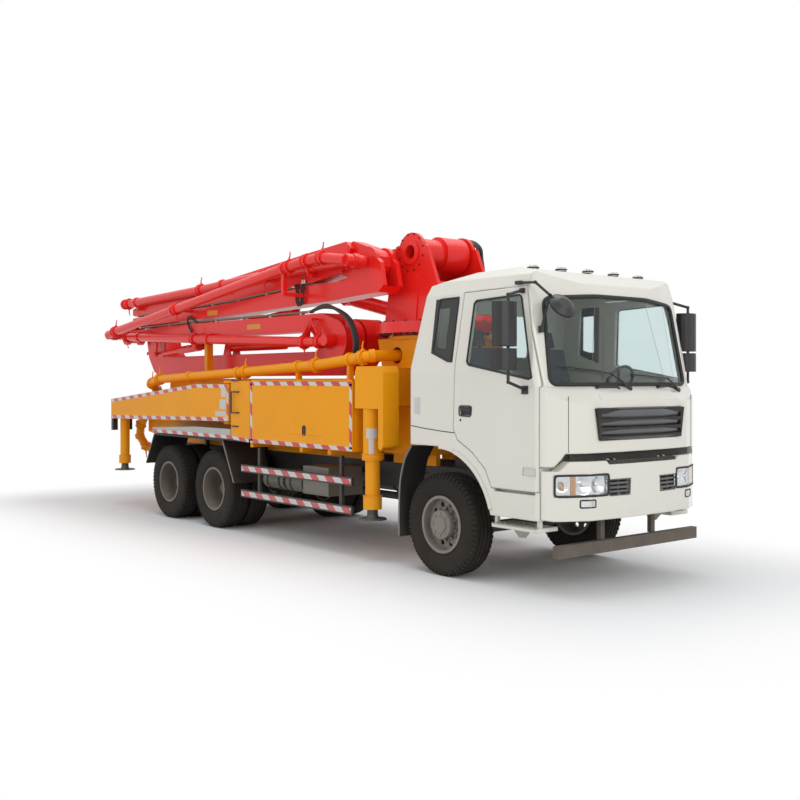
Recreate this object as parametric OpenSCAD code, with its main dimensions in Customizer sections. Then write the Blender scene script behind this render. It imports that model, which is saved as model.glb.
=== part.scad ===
// Concrete pump truck, boom folded for the road. Millimetres, +X forward, +Y left, +Z up.
// Sizes are taken from the front axle at ground level; at_part() moves them to the middle of the truck.

/* [Wheels] */
// Outside diameter of every tyre
tyre_d = 1085; // [1040:5:1120]
// Width of one tyre
tyre_w = 285; // [270:5:295]
// Diameter of the rim where the tyre seats
rim_d = 572; // [540:4:600]
// Distance of the first driven axle behind the front axle
axle2_back = 4720; // [4650:10:4760]
// Distance of the second driven axle behind the front axle
axle3_back = 6070; // [5990:10:6120]
// Side offset of the front wheel centre
front_wheel_y = 1030; // [1020:5:1035]
// Side offset of the outer twin wheel centre
twin_outer_y = 1092; // [1088:2:1104]
// Distance between the two twin wheel centres
twin_pitch = 318; // [310:2:324]

/* [Chassis] */
// Height of the top of the frame rails
rail_top = 1060; // [1040:5:1070]
// Height of one frame rail
rail_h = 270; // [240:5:300]
// Half width of the frame over the rails
rail_half_w = 430; // [410:5:440]
// Sheet thickness of the frame rails
rail_t = 12; // [8:1:16]
// Half width of the bar under the front bumper
underrun_half_w = 1096; // [1000:8:1150]
// Height of the side guard strips
guard_h = 100; // [70:5:120]

/* [Cab] */
// Half width of the cab
cab_half_w = 1200; // [1180:5:1215]
// Thickness of the cab walls and doors
cab_wall = 45; // [35:1:55]
// Height of the cab roof
cab_roof = 3190; // [3150:5:3210]
// Height of the line under the cab side
cab_sill = 1370; // [1350:5:1385]
// Front of the cab at its middle
cab_nose_x = 1720; // [1700:5:1730]
// Front of the bumper
bumper_x = 1750; // [1740:2:1760]
// Gap round each door
door_gap = 6; // [5:1:9]

/* [Deck] */
// Half width over the lockers and beams
deck_half_w = 1250; // [1240:2:1255]
// Height of the deck plate
deck_top = 2085; // [2060:5:2095]
// Thickness of the locker sheet
locker_wall = 25; // [15:1:40]
// Outside diameter of the delivery pipes
pipe_d = 133; // [125:1:140]

/* [Outriggers] */
// Outside diameter of the front jack tube
jack_d = 170; // [150:2:180]
// Diameter of the jack foot plates
foot_d = 330; // [280:5:340]
// Height of the front feet above the ground
front_foot_z = 470; // [460:5:490]
// Height of the rear feet above the ground
rear_foot_z = 590; // [580:5:600]

/* [Boom] */
// Height of the boom foot pin
boom_pin_z = 3620; // [3615:1:3625]
// Width of the first arm
arm1_w = 360; // [340:5:365]
// Width of the second arm
arm2_w = 360; // [340:5:360]
// Width of the three outer arms
arm3_w = 300; // [280:5:305]
// Diameter of the knuckle pins
pin_d = 170; // [150:2:180]
// Bore of the lift cylinder barrel tube, outside
barrel_d = 190; // [170:2:200]
// Diameter of the lift cylinder rod
rod_d = 110; // [90:2:120]

/* [Hidden] */
$fn = 48;
fit = 0.5;
tyre_r = tyre_d / 2;
rim_r = rim_d / 2;
axle2_x = -axle2_back;
axle3_x = -axle3_back;
twin_inner_y = twin_outer_y - twin_pitch;
twin_mid_y = (twin_outer_y + twin_inner_y) / 2;
kingpin_y = 900;
slew_x = -1300;
slew_z = 2600;

// Boom pins in side view, [x, z]
foot_pin = [-1500, boom_pin_z];
pin1 = [-8300, 3100];
pin2 = [-2500, 2570];
pin3 = [-8600, 2830];
pin4 = [-1800, 3500];
lug_turret = [-1980, 2860];
lug_arm = [-3500, 3200];

// Boom lanes in plan, from the side that the arms start on
arm1_y0 = 100;
arm2_y1 = -60;
arm3_y1 = -450;
arm1_y1 = arm1_y0 + arm1_w;
arm2_y0 = arm2_y1 - arm2_w;
arm3_y0 = arm3_y1 - arm3_w;
cyl_y = (arm1_y0 + arm1_y1) / 2;
pipe_r = pipe_d / 2;
inner_lane = arm3_y0 - pipe_r - 15;
outer_lane = inner_lane - 240;
swivel_y = (inner_lane + outer_lane) / 2;
knuckle3_r = 160;

// Jack and outrigger places
front_jack = [-1205, -1135];
rear_jack = [-7930, -1075];
swing_pin = [-4480, -1050];

rear_end_x = pin3[0] - knuckle3_r;
part_x = -(bumper_x + rear_end_x) / 2;

module at_part() translate([part_x, 0, 0]) children();

// Mirrors its children to the left side when asked to
module side(left) {
    if (left) mirror([0, 1, 0]) children();
    else children();
}

module both() {
    children();
    mirror([0, 1, 0]) children();
}

module block(x0, x1, y0, y1, z0, z1)
    translate([x0, y0, z0]) cube([x1 - x0, y1 - y0, z1 - z0]);

// Side view outline given thickness from y0 to y1
module plate_xz(y0, y1)
    translate([0, y1, 0]) rotate([90, 0, 0]) linear_extrude(y1 - y0) children();

// Front view outline given thickness from x0 to x1
module plate_yz(x0, x1)
    translate([x0, 0, 0]) rotate([90, 0, 90]) linear_extrude(x1 - x0) children();

module plate_xy(z0, z1)
    translate([0, 0, z0]) linear_extrude(z1 - z0) children();

module rod_y(at, d, y0, y1)
    translate([at[0], y1, at[1]]) rotate([90, 0, 0]) cylinder(d = d, h = y1 - y0);

module rod_x(y, z, d, x0, x1)
    translate([x0, y, z]) rotate([0, 90, 0]) cylinder(d = d, h = x1 - x0);

module rod_z(x, y, d, z0, z1)
    translate([x, y, z0]) cylinder(d = d, h = z1 - z0);

// Straight round bar between two points in space
module bar(a, b, d) {
    v = b - a;
    len = norm(v);
    translate(a)
        rotate([0, acos(v[2] / len), atan2(v[1], v[0])])
            cylinder(d = d, h = len);
}

// Round pipe through a list of points, with a clamped coupling at each bend
bend_trim = 8;
coupling_half = 36;
coupling_t = 13;
module pipe_run(points, d) {
    last = len(points) - 1;
    for (i = [0:last - 1]) {
        along = (points[i + 1] - points[i]) / norm(points[i + 1] - points[i]);
        bar(points[i] + (i > 0 ? bend_trim : 0) * along, points[i + 1] - (i < last - 1 ? bend_trim : 0) * along, d);
    }
    for (i = [1:1:last - 1]) {
        before = (points[i] - points[i - 1]) / norm(points[i] - points[i - 1]);
        after = (points[i + 1] - points[i]) / norm(points[i + 1] - points[i]);
        halfway = (before + after) / norm(before + after);
        bar(points[i] - coupling_half * halfway, points[i] + coupling_half * halfway, d + 2 * coupling_t);
    }
}

// Wheel frame: local z points outward on the right side
module wheel_at(x, y, left = false)
    side(left) translate([x, -y, tyre_r]) rotate([90, 0, 0]) children();

bead_w = 216;
bulge_w = tyre_w;
tyre_half = [
    [rim_r + fit, bead_w / 2], [rim_r + 35, bulge_w / 2 - 12], [rim_r + 105, bulge_w / 2],
    [tyre_r - 60, bulge_w / 2 - 4], [tyre_r - 14, bulge_w / 2 - 18], [tyre_r, bulge_w / 2 - 48]
];
module tyre_ring()
    rotate_extrude()
        polygon(concat(tyre_half, [for (i = [len(tyre_half) - 1:-1:0]) [tyre_half[i][0], -tyre_half[i][1]]]));

module tyre_single(left) color("#2b2624") at_part() wheel_at(0, front_wheel_y, left) tyre_ring();

module tyre_pair(x, left)
    color("#2b2624") at_part() {
        wheel_at(x, twin_outer_y, left) tyre_ring();
        wheel_at(x, twin_inner_y, left) tyre_ring();
    }

// Rolled rim: barrel, two lips and an inner well wall
barrel_half = 122;
barrel_t = 13;
lip_h = 18;
module rim_barrel()
    rotate_extrude() polygon([
        [rim_r - barrel_t, -barrel_half - 12], [rim_r + lip_h, -barrel_half - 12],
        [rim_r + lip_h, -barrel_half], [rim_r, -barrel_half],
        [rim_r, barrel_half], [rim_r + lip_h, barrel_half],
        [rim_r + lip_h, barrel_half + 12], [rim_r - barrel_t, barrel_half + 12]
    ]);

// Wheel disc with hand holes, from z0 to z1, and the spindle bore
spindle_d = 90;
hand_holes = 10;
module disc(z0, z1, hub_d, hub_z) {
    difference() {
        union() {
            translate([0, 0, z0]) cylinder(r = rim_r - barrel_t, h = z1 - z0);
            translate([0, 0, z0]) cylinder(d = hub_d, h = hub_z - z0);
        }
        for (i = [0:hand_holes - 1])
            rotate([0, 0, i * 360 / hand_holes])
                translate([rim_r * 0.74, 0, z0 - 1]) cylinder(d = 58, h = z1 - z0 + 2);
        translate([0, 0, z0 - 1]) cylinder(d = spindle_d + 2 * fit, h = hub_z - z0 - 24);
    }
}

front_disc_z = 35;
module rim_single(left)
    color("silver") at_part() wheel_at(0, front_wheel_y, left) {
        rim_barrel();
        disc(front_disc_z, front_disc_z + 14, 300, front_disc_z + 105);
        translate([0, 0, front_disc_z + 105]) cylinder(d = 175, h = 14);
    }

twin_disc_t = 14;
module rim_pair(x, left)
    color("gray") at_part() {
        wheel_at(x, twin_outer_y, left) {
            rim_barrel();
            difference() {
                translate([0, 0, twin_mid_y - twin_outer_y]) cylinder(r = rim_r - barrel_t, h = 60);
                translate([0, 0, twin_mid_y - twin_outer_y + twin_disc_t])
                    cylinder(r = rim_r - 2 * barrel_t, h = 60);
                translate([0, 0, twin_mid_y - twin_outer_y - 1]) cylinder(d = 260, h = 80);
            }
            translate([0, 0, twin_mid_y - twin_outer_y]) disc_hub();
        }
        wheel_at(x, twin_inner_y, left) {
            rim_barrel();
            difference() {
                translate([0, 0, twin_pitch / 2 - 60]) cylinder(r = rim_r - barrel_t, h = 60);
                translate([0, 0, twin_pitch / 2 - 61]) cylinder(r = rim_r - 2 * barrel_t, h = 61 - twin_disc_t);
                translate([0, 0, twin_pitch / 2 - 62]) cylinder(d = 260, h = 80);
            }
        }
    }

// Hub that carries both twin rims, open at the inner end for the spindle
module disc_hub()
    difference() {
        union() {
            translate([0, 0, -40]) cylinder(d = 262, h = 60);
            translate([0, 0, 15]) cylinder(d = 200, h = 110);
        }
        translate([0, 0, -41]) cylinder(d = spindle_d + 2 * fit, h = 130);
    }

// Frame: two channel rails, cross members, and the cab hinge ears at the front
rail_rear_x = -7030;
rail_front_x = 1560;
rail_flange = 75;
cross_x = [-6950, -5395, -3900, -2500, -1070, 1280];
cab_pin = [1620, 1260];
cab_pin_d = 50;
ear_y0 = 375;
ear_y1 = 410;
module rail()
    plate_yz(rail_rear_x, rail_front_x) polygon([
        [-rail_half_w, rail_top - rail_h], [-rail_half_w + rail_flange, rail_top - rail_h],
        [-rail_half_w + rail_flange, rail_top - rail_h + rail_t], [-rail_half_w + rail_t, rail_top - rail_h + rail_t],
        [-rail_half_w + rail_t, rail_top - rail_t], [-rail_half_w + rail_flange, rail_top - rail_t],
        [-rail_half_w + rail_flange, rail_top], [-rail_half_w, rail_top]
    ]);
module chassis_frame()
    color("#26262a") at_part() {
        both() rail();
        for (x = cross_x)
            block(x - 50, x + 50, rail_t - rail_half_w, rail_half_w - rail_t, rail_top - 200, rail_top - 70);
        both() {
            difference() {
                union() {
                    block(rail_front_x - 120, cab_pin[0] + 10, -ear_y1, -ear_y0, rail_top - 60, cab_pin[1] - 20);
                    rod_y(cab_pin, 90, -ear_y1, -ear_y0);
                }
                rod_y(cab_pin, cab_pin_d + 2 * fit, -ear_y1 - 1, -ear_y0 + 1);
            }
            // Towing eye under the front cross member
            block(rail_front_x - 40, rail_front_x + 40, -rail_half_w + 10, -rail_half_w + 50, rail_top - rail_h, rail_top - 90);
        }
    }

// Front beam, its springs, the two driven axles, their springs and the drive shafts
beam_end_y = kingpin_y;
boss_h = 150;
kingpin_d = 42;
spring_w = 80;
module leaf_pack(x, y, z, length, leaves, step) {
    for (i = [0:leaves - 1])
        block(x - length / 2 + i * step, x + length / 2 - i * step, y - spring_w / 2, y + spring_w / 2,
              z - (i + 1) * 16, z - i * 16);
}
module axles()
    color("#2a2826") at_part() {
        block(-45, 45, -760, 760, tyre_r - 140, tyre_r - 30);
        both() {
            difference() {
                union() {
                    plate_yz(-45, 45) polygon([
                        [-760, tyre_r - 140], [-835, tyre_r - boss_h / 2], [-kingpin_y, tyre_r - boss_h / 2],
                        [-kingpin_y, tyre_r + boss_h / 2], [-850, tyre_r + boss_h / 2], [-700, tyre_r - 30]
                    ]);
                    rod_z(0, -kingpin_y, 96, tyre_r - boss_h / 2, tyre_r + boss_h / 2);
                }
                rod_z(0, -kingpin_y, kingpin_d + 2 * fit, tyre_r - boss_h, tyre_r + boss_h);
            }
            block(-60, 60, -468, -388, tyre_r - 31, tyre_r + 60);
            leaf_pack(0, -428, rail_top - rail_h - 86, 1500, 7, 95);
            for (x = [-745, 745])
                block(x - 45, x + 45, -468, -rail_half_w, rail_top - rail_h - 102, rail_top - 60);
            for (x = [-745, 745])
                block(x - 45, x + 45, -468, -388, rail_top - rail_h - 104, rail_top - rail_h);
        }
        for (x = [axle2_x, axle3_x]) {
            rod_y([x, tyre_r], 150, -615, 615);
            translate([x, 0, tyre_r]) sphere(r = 205);
            both() {
                rod_y([x, tyre_r], spindle_d, -(twin_mid_y + 60), -600);
                rod_y([x, tyre_r], 230, -620, -600);
            }
        }
        rod_x(0, tyre_r + 40, 95, axle2_x, -1000);
        rod_x(0, tyre_r, 95, axle3_x, axle2_x);
        bogie_x = (axle2_x + axle3_x) / 2;
        both() {
            block(bogie_x - 170, bogie_x + 170, -560, -rail_half_w, rail_top - 480, rail_top - 40);
            leaf_pack(bogie_x, -515, tyre_r + 190, 1500, 7, 90);
            for (x = [axle2_x, axle3_x])
                block(x - 70, x + 70, -565, -465, tyre_r + 40, tyre_r + 178);
        }
    }

module engine_block()
    color("#4a4a4a") at_part() {
        block(-720, 520, -300, 300, 640, 1290);
        block(-1000, -720, -200, 200, 560, 980);
        for (x = [-600, 300]) block(x, x + 120, rail_t - rail_half_w, rail_half_w - rail_t, 900, 970);
    }

// Air receivers and battery box on the right, fuel tank and silencer on the left
module tanks()
    color("#b9b4ab") at_part() {
        for (x = [-3840, -3290]) {
            rod_x(-840, 730, 240, x, x + 480);
            block(x + 60, x + 420, -840, -rail_half_w, 800, 850);
        }
        block(-2700, -2150, -1080, -560, 640, 990);
        block(-2650, -2200, -560, -rail_half_w, 800, 900);
        plate_yz(-3800, -2650) polygon([
            [560, 600], [620, 540], [1090, 540], [1150, 600], [1150, 1000], [1090, 1060], [620, 1060], [560, 1000]
        ]);
        for (x = [-3600, -2900]) block(x, x + 60, rail_half_w, 560, 800, 960);
        rod_y([-2200, 780], 360, 520, 1120);
        block(-2240, -2160, rail_half_w, 520, 800, 900);
    }

guard_x0 = -3957;
guard_x1 = -1471;
guard_z = [884, 547];
guard_post_x = [-3560, -1740];
bearer_z0 = 1172;
module side_guards()
    color("#3a3a3c") at_part() both() {
        for (z = guard_z)
            block(guard_x0, guard_x1, -1235, -1200, z - guard_h / 2, z + guard_h / 2);
        for (x = guard_post_x)
            block(x - 25, x + 25, -1200, -1160, guard_z[1] - 60, bearer_z0);
    }

// Flat topped mudguards over both driven axles with the pale skirt under the side beam,
// and the curved one behind each front wheel on its bracket
fender_top = 1225;
fender_t = 22;
front_guard_x = [-665, -610];
module mudguards()
    color("#141416") at_part() both() {
        plate_xz(-1235, -640) polygon([
            [-6790, 775], [-6520, fender_top], [-4450, fender_top], [-4150, 660], [-4120, 660],
            [-4430, fender_top + fender_t], [-6535, fender_top + fender_t], [-6815, 775]
        ]);
        plate_xz(-deck_half_w, -1237) polygon([
            [-6560, 1262], [-6560, 1345], [-5200, 1400], [-4205, 1400], [-4205, 1286], [-3725, 1286], [-3725, 1236]
        ]);
        // Brackets down to the frame rail
        for (x = [-6300, -5395, -4600])
            block(x - 30, x + 30, -640, -rail_half_w, fender_top - 40, fender_top);
        for (x = [-6300, -5395, -4600])
            block(x - 30, x + 30, -470, -rail_half_w, rail_top - 40, fender_top - 40);
        for (x = [-6300, -5000])
            block(x - 30, x + 30, -1237, -1180, fender_top + fender_t, 1300);
        plate_xz(-1195, -870) polygon([
            [-430, 1345], [-540, 1200], [-618, 960], [-640, 640], [-640, 345],
            [-665, 345], [-665, 650], [-642, 972], [-560, 1218], [-455, 1355]
        ]);
        block(front_guard_x[0], front_guard_x[0] + 30, -872, -rail_half_w, 860, 900);
    }

// Plan outline of the cab nose, widened or narrowed by t on every side
function nose_plan(front, t) = let (f = front - t, w = cab_half_w - t) [
    [-700, -w], [1380 - t, -w], [1470 - t, -w + 45], [1570 - t, -w + 160], [f - 45, -w + 420],
    [f, -w + 900], [f, w - 900], [f - 45, w - 420], [1570 - t, w - 160], [1470 - t, w - 45],
    [1380 - t, w], [-700, w]
];

bumper_z0 = 725;
bumper_z1 = 1290;
bumper_side_z1 = 1200;
bumper_notch_z = 1252;
bumper_t = 62;
lamp_y0 = 530;
lamp_y1 = 1092;
lamp_z0 = 955;
lamp_z1 = 1165;
module bumper()
    color("#e9e7df") at_part() {
        difference() {
            intersection() {
                plate_xy(bumper_z0, bumper_z1) polygon(nose_plan(bumper_x, 0));
                plate_yz(1432, bumper_x) polygon([
                    [-1300, bumper_z0 + 40], [-1100, bumper_z0], [1100, bumper_z0], [1300, bumper_z0 + 40],
                    [1300, bumper_side_z1], [1055, bumper_side_z1], [965, bumper_z1], [570, bumper_z1],
                    [530, bumper_notch_z], [-530, bumper_notch_z], [-570, bumper_z1],
                    [-965, bumper_z1], [-1055, bumper_side_z1], [-1300, bumper_side_z1]
                ]);
            }
            translate([0, 0, bumper_z0 - 1]) linear_extrude(bumper_z1 - bumper_z0 + 2)
                polygon(nose_plan(bumper_x, bumper_t));
            both() block(1300, 1800, -lamp_y1, -lamp_y0, lamp_z0, lamp_z1);
            // Two vents beside the bare middle plate
            both() plate_yz(1500, 1800) polygon([[-560, 1108], [-225, 1108], [-235, 945], [-525, 945]]);
        }
        both() block(rail_front_x, bumper_x - bumper_t + 2, -rail_half_w + 60, -rail_half_w + 110, 860, 980);
    }

module headlamps()
    color("#d8dde0") at_part() both()
        intersection() {
            difference() {
                plate_xy(lamp_z0 + fit, lamp_z1 - fit) polygon(nose_plan(bumper_x - 6, 0));
                plate_xy(lamp_z0, lamp_z1) polygon(nose_plan(bumper_x - 6, 52));
            }
            block(1300, 1800, -lamp_y1 + fit, -lamp_y0 - fit, lamp_z0, lamp_z1);
        }

underrun_x = 1549;
module underrun_bar()
    color("#5a514b") at_part() {
        block(underrun_x - 35, underrun_x + 35, -underrun_half_w, underrun_half_w, 375, 495);
        both() block(underrun_x - 60, underrun_x - 10, -rail_half_w, -rail_half_w + 60, 495, rail_top - rail_h);
    }

module knuckle(left)
    color("#34302c") at_part() side(left) {
        rod_z(0, -kingpin_y, kingpin_d, tyre_r - 130, tyre_r + 130);
        for (z = [tyre_r - 130, tyre_r + 85]) {
            rod_z(0, -kingpin_y, 96, z, z + 45);
            block(-48, 48, -990, -kingpin_y, z, z + 45);
        }
        block(-60, 60, -990, -958, tyre_r - 130, tyre_r + 130);
        rod_y([0, tyre_r], spindle_d, -(front_wheel_y + 85), -985);
        block(-300, -20, -880, -850, tyre_r - 130, tyre_r - 112);
    }

// Cab outer form: side, plan and front outlines cut from one block; t insets every face
function cab_side(t) = [
    [-450 + t, cab_sill - 700 + t], [-450 + t, 2200], [-265 + t, 2950], [-215 + t, cab_roof - 95 - t / 2],
    [-120 + t, cab_roof - 55 - t], [300, cab_roof - 10 - t], [950, cab_roof - t], [1210 - t / 2, cab_roof - 45 - t],
    [1385 - t, cab_roof - 170 - t / 2], [1445 - t, 2905], [screen_x - t, scuttle_z], [cab_nose_x - 20 - t, 1870],
    [cab_nose_x - t, 1500], [cab_nose_x - t, cab_sill - 700 + t]
];
function cab_front(t) = let (w = cab_half_w - t) [
    [-w, 600], [-w, 2150], [-w + 70, 2960], [-w + 120, cab_roof - 90 - t], [-w + 250, cab_roof - t],
    [w - 250, cab_roof - t], [w - 120, cab_roof - 90 - t], [w - 70, 2960], [w, 2150], [w, 600]
];
// Plan of the screen and its pillars at the scuttle, which leans back as it rises
function pillar_plan(t) = let (w = cab_half_w - t) [
    [-2600, -w], [-260, -w], [-225, 20 - w], [-208, 70 - w], [-190, 145 - w], [-110, 400 - w], [-25, 800 - w],
    [0, 0], [-25, w - 800], [-110, w - 400], [-190, w - 145], [-208, w - 70], [-225, w - 20], [-260, w], [-2600, w]
];
screen_x = 1572;
scuttle_z = 2000;
pillar_front = 1640;
pillar_lean = 10.8;
scuttle_corner = [1450, -1055];
module cab_form(t, z0)
    intersection() {
        plate_xz(-1300, 1300) polygon(cab_side(t));
        plate_yz(-500, 1800) polygon(cab_front(t));
        union() {
            difference() {
                plate_xy(z0, scuttle_z) polygon(nose_plan(cab_nose_x, t));
                // Shoulders that slope from the pillar feet down to the nose
                both() translate([scuttle_corner[0] - t, scuttle_corner[1], scuttle_z])
                    rotate([0, 0, -15]) rotate([0, -42, 0]) translate([0, -500, -400]) cube([400, 1000, 800]);
            }
            intersection() {
                translate([pillar_front - t, 0, scuttle_z]) rotate([0, -pillar_lean, 0])
                    translate([0, 0, -100]) linear_extrude(1500) polygon(pillar_plan(t));
                plate_xy(scuttle_z - 1, 3300) square([4000, 3000], center = true);
            }
        }
    }

arch_r = 800;
roof_lamp = [1010, 830];
cab_floor = 1430;
front_sill = 1365;
step_x0 = 775;
step_x1 = 1422;
door_outline = [
    [335, 2962], [262, 2262], [238, 1560], [300, 1452], [520, 1335], [705, 1180], [800, 1000],
    [1415, 1000], [1415, 2020], [1212, 2975]
];
door_window = [[430, 2225], [495, 2870], [1145, 2895], [1340, 2090], [1300, 2075]];
quarter_window = [[-105, 2365], [-35, 2915], [255, 2920], [195, 2262], [150, 2262]];
screen = [
    [-1040, 2095], [-995, 2800], [-970, 2845], [-900, 2872], [-400, 2890], [400, 2890], [900, 2872],
    [970, 2845], [995, 2800], [1040, 2095], [1025, 2050], [970, 2025], [-970, 2025], [-1025, 2050]
];
rear_window = [[-560, 2330], [-540, 2800], [540, 2800], [560, 2330]];

// Grows or shrinks a four or more sided outline about its own middle
function outline_middle(p) = [for (k = [0, 1]) (max([for (v = p) v[k]]) + min([for (v = p) v[k]])) / 2];
function grow(p, g) = let (m = outline_middle(p))
    [for (v = p) [v[0] + g * sign(v[0] - m[0]), v[1] + g * sign(v[1] - m[1])]];

module cab_body()
    difference() {
        cab_form(0, 725);
        cab_form(cab_wall, cab_floor);
        // Wheel arches, open behind the axle, and the tunnel over the engine
        rod_y([0, tyre_r], 2 * arch_r, -1300, 1300);
        block(-600, 0, -1300, 1300, 500, cab_sill);
        block(-600, step_x1 + 400, -560, 560, 500, front_sill);
        // Nothing below the sill in front of the steps, apart from the corners beside the bumper
        plate_yz(step_x1, 1800) polygon([
            [-1300, 500], [-1300, 1240], [-1090, 1240], [-1000, front_sill],
            [1000, front_sill], [1090, 1240], [1300, 1240], [1300, 500]
        ]);
        both() {
            // Entry well behind the lower door
            block(step_x0 + 75, step_x1 - 45, -cab_half_w + cab_wall + 3, -700, 1010, cab_floor + 5);
            // Slot under the lower edge of the door, and the hollow behind the step panel
            block(step_x0 + 60, step_x1 - 40, -1300, -1120, 968, 998);
            block(step_x0 + 60, step_x1 - 45, -1145, -560, 770, 960);
        }
    }

module cab_shell()
    color("#ecebe4") at_part() {
        difference() {
            cab_body();
            plate_yz(900, 1900) polygon(screen);
            plate_yz(-600, 0) polygon(rear_window);
            both() {
                plate_xz(-1300, -1000) polygon(quarter_window);
                plate_xz(-1300, -1070) intersection() {
                    polygon(grow(door_outline, door_gap));
                    translate([0, cab_floor + 10]) square([2000, 2000]);
                }
                plate_xz(-1300, -cab_half_w + cab_wall + 25) polygon(grow(door_outline, door_gap));
            }
            // Opening behind the radiator grille
            plate_yz(1600, 1800) polygon(grille_outline);
        }
        both() {
            // Rolled lip round the wheel arch
            difference() {
                rod_y([0, tyre_r], 2 * arch_r + 90, -1212, -1150);
                rod_y([0, tyre_r], 2 * arch_r, -1213, -1149);
                block(-1000, 235, -1300, -1100, 0, 2000);
                block(-1000, 2000, -1300, -1100, -400, 780);
                plate_xz(-1300, -1100) polygon(grow(door_outline, door_gap));
            }
            // Step tread under the panel
            block(step_x0 + 15, step_x1 - 20, -1190, -900, 610, 650);
            for (x = [step_x0 + 20, step_x1 - 60]) block(x, x + 35, -1150, -1110, 650, 760);
            // Hinge lugs round the tilt pin
            for (y = [-452, -366]) {
                difference() {
                    union() {
                        plate_xz(y, y + 28) translate(cab_pin)
                            polygon([[-38, 0], [-60, front_sill - cab_pin[1]], [-8, front_sill - cab_pin[1]], [-8, 36], [38, 0]]);
                        rod_y(cab_pin, 80, y, y + 28);
                    }
                    rod_y(cab_pin, cab_pin_d + 2 * fit, y - 1, y + 29);
                }
            }
            rod_y(cab_pin, cab_pin_d, -458, -338);
        }
        // Roof marker lamps
        for (y = [-1, -0.5, 0, 0.5, 1])
            translate([roof_lamp[0], y * roof_lamp[1], cab_roof - 6 - 14 * abs(y)]) cylinder(d1 = 110, d2 = 80, h = 40, $fn = 32);
    }

// Skin of the cab form, moved sideways and trimmed to an outline
pane_in = 12;
pane_t = 6;
module side_pane(outline)
    intersection() {
        difference() {
            translate([0, pane_in, 0]) cab_form(0, 725);
            translate([0, pane_in + pane_t, 0]) cab_form(0, 725);
        }
        plate_xz(-1300, -900) polygon(grow(outline, -fit));
    }
module cab_glass()
    color("#9fb4bd", 0.4) at_part() {
        intersection() {
            difference() {
                translate([-pane_in, 0, 0]) cab_form(0, 725);
                translate([-pane_in - pane_t, 0, 0]) cab_form(0, 725);
            }
            plate_yz(1000, 1900) polygon(grow(screen, -fit));
        }
        intersection() {
            difference() {
                translate([pane_in, 0, 0]) cab_form(0, 725);
                translate([pane_in + pane_t, 0, 0]) cab_form(0, 725);
            }
            plate_yz(-600, 100) polygon(grow(rear_window, -fit));
        }
        both() side_pane(quarter_window);
    }

module door_panel()
    difference() {
        intersection() {
            difference() {
                cab_form(0, 725);
                translate([0, cab_wall, 0]) cab_form(0, 725);
            }
            plate_xz(-1300, -900) polygon(door_outline);
        }
        plate_xz(-1300, -900) polygon(door_window);
        // Recess for the handle
        block(335, 500, -1300, -cab_half_w + 18, 1705, 1790);
    }
module door(left)
    color("#ecebe4") at_part() side(left) {
        door_panel();
        block(350, 485, -cab_half_w + 2, -cab_half_w + 14, 1755, 1778);
        for (x = [352, 475]) block(x, x + 8, -cab_half_w + 10, -cab_half_w + 20, 1755, 1778);
    }
module door_glass(left) color("#9fb4bd", 0.4) at_part() side(left) side_pane(door_window);

grille_half_w = 690;
grille_z0 = 1485;
grille_z1 = 1790;
louvres = 3;
grille_outline = [
    [-grille_half_w, grille_z1], [grille_half_w, grille_z1], [grille_half_w - 50, grille_z0], [50 - grille_half_w, grille_z0]
];
module grille()
    color("#1d1e20") at_part()
        difference() {
            plate_yz(cab_nose_x - 40, cab_nose_x - 4) polygon(grow(grille_outline, -fit));
            for (i = [0:louvres - 1])
                block(cab_nose_x - 41, cab_nose_x, -grille_half_w + 60, grille_half_w - 60,
                      grille_z0 + 40 + i * 84, grille_z0 + 40 + i * 84 + 48);
        }

// Two seats with head rests and the sleeper shelf behind them
module seats()
    color("#5d5f66") at_part() both() {
        block(100, 540, -800, -320, cab_floor, cab_floor + 250);
        plate_xz(-820, -300) polygon([
            [60, cab_floor + 252], [560, cab_floor + 252], [590, cab_floor + 330], [560, cab_floor + 400],
            [110, cab_floor + 380], [-60, cab_floor + 990], [-130, cab_floor + 990], [-150, cab_floor + 900], [0, cab_floor + 300]
        ]);
        plate_xz(-690, -430) polygon([
            [-75, cab_floor + 1010], [-130, cab_floor + 1190], [-190, cab_floor + 1190], [-150, cab_floor + 1010]
        ]);
        block(-115, -95, -640, -620, cab_floor + 980, cab_floor + 1015);
        block(-115, -95, -500, -480, cab_floor + 980, cab_floor + 1015);
    }

module dashboard()
    color("#3b3c40") at_part() {
        intersection() {
            plate_xz(-940, 940) polygon([
                [1380, cab_floor], [1180, 1560], [1130, 1850], [1180, 1945], [1430, 1950], [1500, 1890], [1560, 1780], [1560, cab_floor]
            ]);
            plate_xy(cab_floor, 2000) polygon(nose_plan(cab_nose_x, cab_wall + 12));
        }
        translate([960, 560, 2030]) rotate([0, -62, 0]) {
            rotate_extrude() translate([205, 0]) circle(d = 32, $fn = 24);
            for (a = [90, 210, 330]) rotate([0, 0, a]) translate([0, -14, -10]) cube([205, 28, 16]);
            translate([0, 0, -40]) cylinder(d = 90, h = 50);
        }
        bar([965, 560, 2015], [1190, 560, 1890], 60);
    }

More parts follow.
